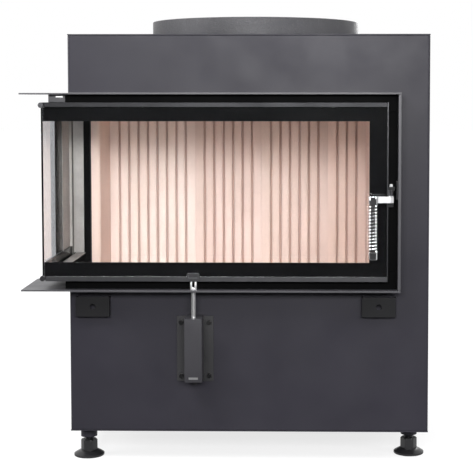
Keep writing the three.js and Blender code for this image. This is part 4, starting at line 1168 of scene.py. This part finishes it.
@dataclass
class Door:
    """Two panes, rails and bars that turn as one, with a twisted rope round the rear face.

    A trim's numbers are millimetres: inwards from the side pane, ahead of the rear bar, and its ease.
    """

    rope_radius: float = 2.7 * MM
    rope_pitch: float = 13.0 * MM
    strands: int = 3
    strand_spread: float = 0.5
    strand_share: float = 0.52
    strand_sides: int = 7
    bend: float = 4.0 * MM
    step: float = 1.5 * MM
    window: Pair = (46.2 * MM, 393.8 * MM)
    stile: float = 23.0 * MM
    bars: dict[str, tuple[str, Finish, Slot, float]] = field(default_factory=lambda: {
        "front_glass": ("front_pane", PANE, Slot.GLASS, 0.5),
        # The side pane in its darker, bluer copy of the clear pane: painted shade.
        "side_glass": ("side_pane", SIDE_PANE_SHADED, Slot.GLASS, 0.5),
        # The top rail in the darker copy of the rail steel: painted shade.
        "front_rail_top": ("front_rail_top_bar", RAIL_SHADED, Slot.STEEL, 0.9),
        "front_rail_bottom": ("front_rail_bottom_bar", RAIL_STEEL, Slot.STEEL, 0.9),
        "side_tube_top": ("side_tube_top_bar", TUBE_STEEL, Slot.STEEL, 0.8),
        "side_tube_bottom": ("side_tube_bottom_bar", TUBE_STEEL, Slot.STEEL, 0.8),
        "front_frame": ("front_frame_bar", ENAMEL, Slot.BLACK, 0.5),
        "side_frame": ("side_frame_bar", ENAMEL, Slot.BLACK, 0.5),
        "edge_strip": ("edge_strip_bar", EDGE_STEEL, Slot.STEEL, 0.5),
    })
    trims: dict[str, tuple[Finish, Slot, Pair, Pair, float]] = field(default_factory=lambda: {
        "side_pane_border": (ENAMEL, Slot.BLACK, (0.02, 0.22), (190.0, 0.3), 0.0),
        "side_pane_strip": (PALE_STEEL_PAINTED_REFLECTION, Slot.STEEL, (0.25, 1.6), (96.0, 0.8), 0.2),
        "side_bar_facing": (PALE_STEEL_PAINTED_REFLECTION, Slot.STEEL, (0.4, 8.2), (0.7, 0.05), 0.0),
    })

    def build(self) -> None:
        """Builds glass, bars, trims and rope."""
        for node, (name, finish, slot, ease) in self.bars.items():
            eased(node, name, finish, slot, ease * MM, body=Body.DOOR)
        self.side_trims()
        self.rope()

    def side_trims(self) -> None:
        """The black border burnt on the side pane's rear part, and the strips holding it: bare steel and
        painted reflection.
        """
        pane, bars = Span.of("side_glass"), Span.of("side_frame")
        low, high = bars.low[2] + self.window[0], bars.low[2] + self.window[1]
        inner, rear = pane.high[0], bars.high[1] - self.stile
        for name, (finish, slot, across, ahead, ease) in self.trims.items():
            plank(name, (inner + across[0] * MM, rear - ahead[0] * MM, low),
                  (inner + across[1] * MM, rear - ahead[1] * MM, high), finish, slot, ease * MM, Body.DOOR)

    def rope(self) -> None:
        """Strand k winds round the path: centre + spread (cos p across + sin p up), p = s / pitch + k / n."""
        span = Span.of("door_seal")
        radius = self.rope_radius
        (left, front, low), (right, rear, high) = span.low + radius, span.high - radius
        corners = np.array([
            (right, front, low + self.bend), (right, front, high), (left, front, high),
            (left, rear, high), (left, rear, low), (left, front, low), (right - self.bend, front, low),
        ])
        centre, across, up, gone = carried(corners, self.bend, self.step)
        work = Patchwork()
        for strand in range(self.strands):
            phase = TURN * (gone / self.rope_pitch + strand / self.strands)
            out = np.cos(phase)[:, None] * across + np.sin(phase)[:, None] * up
            line = centre + radius * self.strand_spread * out
            along = unit(np.gradient(line, axis=0))
            side = unit(np.cross(along, out))
            work.tube(line, np.cross(side, along), side, radius * self.strand_share, self.strand_sides)
        settle(work, "door_rope_twisted", YARN, Slot.ROPE, "door_seal", body=Body.DOOR)


@dataclass
class Handle:
    """The swinging grip: arm on its pin, turned core, wound spring and latch cam."""

    wire: float = 2.5 * MM
    wire_sides: int = 12
    curls: int = 14
    curl_steps: int = 40
    chamfer: float = 1.5 * MM
    chamfer_steps: int = 6
    shoulder: float = 0.4 * MM
    play: float = 0.3 * MM
    # A thin dark band on the slim core, as painted shade: its inner and outer reach beyond it, and its play
    # at the ends.
    shade_band: Pair = (0.02 * MM, 0.2 * MM)
    shade_band_play: float = 0.1 * MM
    sides: int = 64

    def build(self) -> None:
        """Builds arm, cam, core and spring."""
        eased("handle_arm", "handle_arm_bent", SATIN, Slot.CHROME, 1.0 * MM, 3, Body.HANDLE)
        eased("latch_cam", "latch_cam_filed", BLACK_COAT_AND_SHADE, Slot.STEEL, 0.5 * MM, body=Body.HANDLE)
        self.core()
        self.spring()

    def core(self) -> None:
        """Solid block, slim core and solid cap turned in one profile, and a dark band on the slim part:
        painted shade.
        """
        core, spring = Span.of("grip_core"), Span.of("grip_spring")
        radius, soft, shoulder = core.size[0] / 2, self.chamfer, self.shoulder
        slim = radius - 2 * self.wire - self.play
        low, high = core.low[2], core.high[2]
        under, over = spring.low[2] - self.play, spring.high[2] + self.play
        bow = np.linspace(0, math.pi / 2, self.chamfer_steps)
        foot = np.column_stack([radius - soft + soft * np.sin(bow), low + soft * (1 - np.cos(bow))])
        head = np.column_stack([radius - soft + soft * np.cos(bow), high - soft + soft * np.sin(bow)])
        waist = [(radius, under - shoulder), (radius - shoulder, under), (slim, under),
                 (slim, over), (radius - shoulder, over), (radius, over + shoulder)]
        work = Patchwork()
        work.lathe(np.concatenate([[(0, low)], foot, waist, head, [(0, high)]]), core.middle[:2], self.sides)
        settle(work, "grip_core_turned", CHROME, Slot.CHROME, "grip_core", body=Body.HANDLE)
        # A thin dark band round the slim core: painted shade between the spring's coils.
        inner, outer = slim + self.shade_band[0], slim + self.shade_band[1]
        start, stop = under + self.shade_band_play, over - self.shade_band_play
        section = np.array([(inner, start), (outer, start), (outer, stop), (inner, stop)])
        work = Patchwork()
        work.lathe(section, core.middle[:2], self.sides, closed=True)
        settle(work, "grip_core_shade_band", BLACK_COAT_AND_SHADE, Slot.BLACK, body=Body.HANDLE)

    def spring(self) -> None:
        """A helix: x = r cos t, y = r sin t, z = rise t, its section square to its own line."""
        spring, core = Span.of("grip_spring"), Span.of("grip_core")
        radius = core.size[0] / 2 - self.wire
        axis = core.middle
        low, high = spring.low[2] + self.wire, spring.high[2] - self.wire
        turn = np.linspace(0, TURN * self.curls, self.curls * self.curl_steps + 1)
        rise = (high - low) / (TURN * self.curls)
        x, y = radius * np.cos(turn), radius * np.sin(turn)
        out = np.column_stack([np.cos(turn), np.sin(turn), np.zeros(len(turn))])
        line = np.column_stack([axis[0] + x, axis[1] + y, low + rise * turn])
        along = unit(np.column_stack([-y, x, np.full(len(turn), rise)]))
        work = Patchwork()
        work.tube(line, out, np.cross(out, along), self.wire, self.wire_sides)
        settle(work, "grip_spring_wound", CHROME, Slot.CHROME, "grip_spring", body=Body.HANDLE)


@dataclass
class AirControl:
    """Fork, rod and flap that turn together, and the folded cover on its plate."""

    rod_radius: float = 5.6 * MM
    rod_round: float = 0.8 * MM
    rod_overlap: float = 1.5 * MM
    rod_sides: int = 48
    fork_width: float = 15.7 * MM
    fork_depth: float = 12.0 * MM
    fork_height: float = 19.0 * MM
    fork_slot: float = 6.5 * MM
    fork_round: float = 1.6 * MM
    fork_rim: float = 0.7 * MM
    pocket_sag: float = 0.6
    plate_size: Pair = (23.0 * MM, 6.0 * MM)
    plate_sheet: float = 0.5 * MM
    plate_sunk: float = 0.1
    bolted_sheet: float = 3.1 * MM
    slope: Pair = (7.0 * MM, 21.25 * MM)
    tab_half: float = 4 * MM
    tab_depth: Pair = (3 * MM, 5.4 * MM)
    tab_height: Pair = (-9 * MM, 4 * MM)
    tab_rim: float = 0.5 * MM

    def build(self) -> None:
        """Builds cover, plate, spindle and the small bare plate."""
        self.bolted_plate()
        eased("air_cover", "air_cover_folded", COVER_PAINT, Slot.BLACK, 1.8 * MM, 4)
        eased("air_flap", "air_flap_pressed", PLATE_STEEL, Slot.STEEL, 0.4 * MM, body=Body.AIR)
        self.spindle()
        self.bare_plate()

    def bolted_plate(self) -> None:
        """The cover's plate, and its bolt heads painted near black, partly as painted shade: every face that
        lies before the plate.
        """
        plate = eased("air_plate", "air_plate_bolted", AIR_PLATE_PAINT, Slot.BLACK)
        mesh = plate.data
        mesh.materials.append(BLACK_COAT_AND_SHADE.material())
        # The bolt heads take the near-black coat, partly as painted shade round them.
        middles = np.empty(len(mesh.polygons) * 3)
        mesh.polygons.foreach_get("center", middles)
        heads = middles[1::3] < Span.of("air_plate").high[1] - self.bolted_sheet
        mesh.polygons.foreach_set("material_index", heads.astype(int))

    def spindle(self) -> None:
        """A turned rod with a U-shaped fork on its top."""
        span = Span.of("air_spindle")
        axis, low, high = span.middle, span.low[2], span.high[2]
        rod, soft, fork_low = self.rod_radius, self.rod_round, high - self.fork_height
        top = fork_low + self.rod_overlap
        work = Patchwork()
        work.lathe(np.array([(0, low), (rod - soft, low), (rod, low + soft), (rod, top), (0, top)]),
                   axis[:2], self.rod_sides)
        half, gap, corner = self.fork_width / 2, self.fork_slot / 2, self.fork_round
        floor = fork_low + self.fork_height / 3
        bow = np.linspace(math.pi, TURN, 9)
        pocket = np.column_stack([gap * np.cos(bow), floor + gap * np.sin(bow) * self.pocket_sag])
        turns = np.linspace(0, math.pi / 2, 5)
        right_tip = np.column_stack([
            half - corner + corner * np.cos(turns), high - corner + corner * np.sin(turns),
        ])
        left_tip = right_tip[::-1] * [-1, 1]
        outline = np.concatenate([
            [(-half, fork_low), (half, fork_low)], right_tip, [(gap, high)], pocket[::-1],
            [(-gap, high)], left_tip,
        ])
        outline[:, 0] += axis[0]
        front, back = axis[1] - self.fork_depth / 2, axis[1] + self.fork_depth / 2
        work.prism(outline, front, back, Along.Y, ease=self.fork_rim)
        settle(work, "air_spindle_turned", SATIN, Slot.CHROME, "air_spindle", body=Body.AIR)

    def bare_plate(self) -> None:
        """A small bare plate flat on the cover's sloping foot, and the tab below it.

        The slope runs from the foot's rear lower corner to the front; the plate's outline is a thin
        rectangle along it, drawn out across the cover.
        """
        span, bolted = Span.of("air_cover"), Span.of("air_plate")
        foot = np.array([span.low[1] + self.slope[0], span.low[2]])
        knee = np.array([span.low[1], span.low[2] + self.slope[1]])
        along = (knee - foot) / np.linalg.norm(knee - foot)
        out = np.array([-along[1], along[0]])
        width, height = self.plate_size
        centre = (foot + knee) / 2
        corners = [(-1, -self.plate_sunk), (1, -self.plate_sunk), (1, 1), (-1, 1)]
        outline = np.array([
            centre + u * height / 2 * along + v * self.plate_sheet * out for u, v in corners
        ])
        middle = span.middle[0]
        work = Patchwork()
        work.prism(outline, middle - width / 2, middle + width / 2, Along.X)
        settle(work, "cover_bare_plate", NAME_STEEL, Slot.STEEL)
        lows, highs = zip((-self.tab_half, self.tab_half), self.tab_depth, self.tab_height)
        corner = (middle, bolted.low[1], bolted.low[2])
        plank("air_plate_tab", np.add(corner, lows), np.add(corner, highs), AIR_PLATE_PAINT, Slot.BLACK,
              self.tab_rim)


@dataclass
class Feet:
    """Four levelling feet: domed pad, hexagon with eased corners and a threaded screw."""

    nodes: dict[str, Body] = field(default_factory=lambda: {
        "foot_front_left": Body.FRONT_LEFT, "foot_front_right": Body.FRONT_RIGHT,
        "foot_rear_left": Body.REAR_LEFT, "foot_rear_right": Body.REAR_RIGHT,
    })
    rim: float = 5.0 * MM
    rim_ease: float = 1 * MM
    dome: float = 14.0 * MM
    dome_steps: int = 14
    neck_share: float = 0.8
    hex_reach: float = 21.4 * MM
    hex_top: float = 41.0 * MM
    hex_ease: float = 1.3 * MM
    hex_caps: Pair = (0.9, 0.99)
    overlap: float = 1 * MM
    screw: float = 10.8 * MM
    thread_pitch: float = 2.5 * MM
    thread_depth: float = 1.1 * MM
    thread_rows: int = 170
    thread_sides: int = 36
    sides: int = 72

    def build(self) -> None:
        """Builds the four feet."""
        for node, body in self.nodes.items():
            self.foot(node, body)

    def foot(self, node: str, body: Body) -> None:
        """One foot.

        The screw's radius is screw - depth (1 - cos(2 pi (z / pitch - a))) / 2, a helical groove.

        Args:
            node: The CAD node it stands for.
            body: The body it moves with.
        """
        span = Span.of(node)
        axis, radius, low = span.middle, span.size[0] / 2, span.low[2]
        bow = np.linspace(0, 1, self.dome_steps)
        neck = self.hex_reach * self.neck_share
        dome = np.column_stack([
            radius - (radius - neck) * bow,
            low + self.rim + (self.dome - self.rim) * np.sin(bow * math.pi / 2),
        ])
        pad = [(0, low), (radius - self.rim_ease, low), (radius, low + self.rim_ease)]
        work = Patchwork()
        work.lathe(np.concatenate([pad, dome, [(0, low + self.dome)]]), axis[:2], self.sides)
        small, wide = (self.hex_reach * share for share in self.hex_caps)
        start, stop = self.dome - self.overlap, self.hex_top
        levels = low + np.array([start, start + self.hex_ease, stop - self.hex_ease, stop])
        work.grid(np.stack([
            np.column_stack([
                hexagon(self.hex_reach, cap, self.sides) + axis[:2], np.full(self.sides, level),
            ])
            for cap, level in zip((small, wide, wide, small), levels)
        ]), wrap_v=True, caps=True)
        height = np.linspace(low + self.hex_top - self.overlap, span.high[2], self.thread_rows)[:, None]
        angle = np.linspace(0, TURN, self.thread_sides, endpoint=False)[None]
        wave = (1 - np.cos(TURN * height / self.thread_pitch - angle)) / 2
        reach = self.screw - self.thread_depth * wave
        work.grid(np.stack([
            axis[0] + reach * np.cos(angle), axis[1] + reach * np.sin(angle),
            np.broadcast_to(height, reach.shape),
        ], axis=-1), wrap_v=True, caps=True)
        settle(work, f"{node}_turned", FOOT_COAT, Slot.FOOT, node, body=body)


# ---------------------------------------------------------------- studio


@dataclass(frozen=True)
class Softbox:
    """A rectangular lamp."""

    name: str
    place: Point
    aim: Point
    width: float
    height: float
    power: float

    def hang(self) -> None:
        """Puts the lamp up, its face towards its aim."""
        data = bpy.data.lights.new(self.name, "AREA")
        data.shape = "RECTANGLE"
        data.size, data.size_y, data.energy = self.width, self.height, self.power
        lamp = bpy.data.objects.new(self.name, data)
        lamp.location = self.place
        lamp.rotation_euler = (Vector(self.aim) - Vector(self.place)).to_track_quat("-Z", "Y").to_euler()
        bpy.context.scene.collection.objects.link(lamp)
        lamp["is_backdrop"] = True


@dataclass(frozen=True)
class Studio:
    """Pale floor, white background, soft lamps and the photograph's viewpoint."""

    floor_half: float = 30.0
    floor_points: int = 9
    floor_tint: Colour = (0.24, 0.24, 0.243)
    floor_tones: Pair = (0.995, 1.0)
    floor_grain: Grain = (1.5, 3.0, 0.55)
    floor_gloss: Pair = (0.9, 0.1)
    lift_from: Pair = (1.0, 3.5)
    floor_lift: Pair = (0.77, 0.95)
    card_from: Pair = (-0.9, 0.2)
    card: float = 0.9
    back_from: Pair = (-0.35, 0.25)
    ambient: float = 0.26
    flag: float = 0.06
    eye: Point = (0.1870, -3.3283, 0.9187)
    tilt: float = 3.37
    turn: float = 1.01
    lens: float = 94.40
    sensor: float = 36.0
    shift: Pair = (-0.092, -0.14)
    lamps: tuple[Softbox, ...] = (
        Softbox("key_softbox", (-1.3, -1.7, 2.6), (-0.1, -0.2, 0.9), 1.5, 0.9, 58.0),
        Softbox("front_softbox", (0.35, -3.7, 1.62), (0.0, 0.2, 0.66), 2.6, 0.7, 152.0),
        Softbox("side_softbox", (-2.7, -0.7, 1.3), (-0.3, 0.1, 0.65), 1.3, 1.3, 40.0),
        Softbox("edge_softbox", (2.8, -1.2, 1.6), (0.4, 0.0, 0.7), 0.7, 1.8, 42.0),
        Softbox("top_softbox", (0.1, 0.4, 2.9), (0.0, 0.0, 0.5), 2.2, 1.4, 30.0),
        Softbox("back_softbox", (0.6, 2.8, 1.9), (0.0, 0.0, 0.5), 1.8, 1.4, 40.0),
    )

    def build(self) -> None:
        """Builds floor, world, lamps and camera."""
        self.lay_floor()
        self.light_world()
        for lamp in self.lamps:
            lamp.hang()
        self.set_camera()

    def lay_floor(self) -> None:
        """A level square with a little light of its own towards the camera, so that it ends in the white.

        Shiny surfaces see it white behind the object and dim in front of it, as with a dark flag there.
        """
        work = Patchwork()
        line = np.linspace(-self.floor_half, self.floor_half, self.floor_points)
        u, v = np.meshgrid(line, line, indexing="ij")
        work.grid(np.stack([u, v, np.zeros_like(u)], axis=-1))
        floor = bpy.data.objects.new("floor", work.mesh("floor"))
        bpy.context.scene.collection.objects.link(floor)
        bench = Bench("floor_pale")
        away = bench.node("ShaderNodeVectorMath", {0: bench.place}, operation="LENGTH").outputs["Value"]
        lift = bench.span(away, self.lift_from, self.floor_lift)
        roughness, sheen = self.floor_gloss
        bench.dress(
            Base_Color=bench.tones(bench.noise(self.floor_grain), self.floor_tint, self.floor_tones),
            Roughness=roughness, Specular_IOR_Level=sheen, Emission_Color=WHITE,
            Emission_Strength=bench.sum("MULTIPLY", bench.seen(), lift),
        )
        depth = bench.node("ShaderNodeSeparateXYZ", {0: bench.place}).outputs["Y"]
        glow = bench.span(depth, self.card_from, (self.flag, self.card))
        unseen = bench.sum("SUBTRACT", 1.0, bench.seen())
        reflected = bench.sum("MULTIPLY", bench.mirrored(), unseen)
        bench.swap_shader(reflected, bench.node("ShaderNodeEmission", {"Strength": glow}))
        floor.data.materials.append(bench.material)
        floor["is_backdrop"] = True

    def light_world(self) -> None:
        """White for the camera, also through glass; white behind and dim in front for metal; soft else."""
        world = bpy.data.worlds.new("studio")
        world.use_nodes = True
        wiring = Wiring(world.node_tree)
        way = wiring.node("ShaderNodeTexCoord").outputs["Generated"]
        depth = wiring.node("ShaderNodeSeparateXYZ", {0: way}).outputs["Y"]
        seen, mirrored = wiring.seen(), wiring.mirrored()
        shiny = wiring.sum("MULTIPLY", mirrored, wiring.span(depth, self.back_from, (self.flag, 1.0)))
        dull = wiring.sum("MULTIPLY", wiring.sum("SUBTRACT", 1.0, mirrored), self.ambient)
        unseen = wiring.sum("SUBTRACT", 1.0, seen)
        rest = wiring.sum("MULTIPLY", unseen, wiring.sum("ADD", shiny, dull))
        glow = {"Color": WHITE, "Strength": wiring.sum("ADD", seen, rest)}
        light = wiring.node("ShaderNodeBackground", glow)
        wiring.node("ShaderNodeOutputWorld", {0: light.outputs[0]})
        bpy.context.scene.world = world

    def set_camera(self) -> None:
        """The photograph's viewpoint: a long lens at the height of the collar, right of the middle."""
        data = bpy.data.cameras.new("viewpoint")
        data.lens, data.sensor_width = self.lens, self.sensor
        data.shift_x, data.shift_y = self.shift
        camera = bpy.data.objects.new("viewpoint", data)
        camera.location = self.eye
        camera.rotation_euler = Euler((math.radians(90 - self.tilt), 0.0, math.radians(self.turn)))
        bpy.context.scene.collection.objects.link(camera)
        bpy.context.scene.camera = camera


def note_size(label: str, sizes: dict[str, list[list[float]]]) -> None:
    """Args:
        label: Which look at the box this is.
        sizes: The looks so far, which this one joins.
    """
    low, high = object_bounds()
    sizes[label] = [list(low), list(high)]


def main() -> None:
    """Builds every sub-assembly in order."""
    logging.basicConfig(level=logging.INFO, format="%(name)s: %(message)s")
    sizes: dict[str, list[list[float]]] = {}
    note_size("cad", sizes)
    for assembly in (Casing(), Firebox(), Lining(), Surround(), Door(), Handle(), AirControl(), Feet()):
        assembly.build()
    Studio().build()
    bpy.context.scene.view_settings.view_transform = "Standard"
    note_size("visual", sizes)


if __name__ == "__main__":
    main()
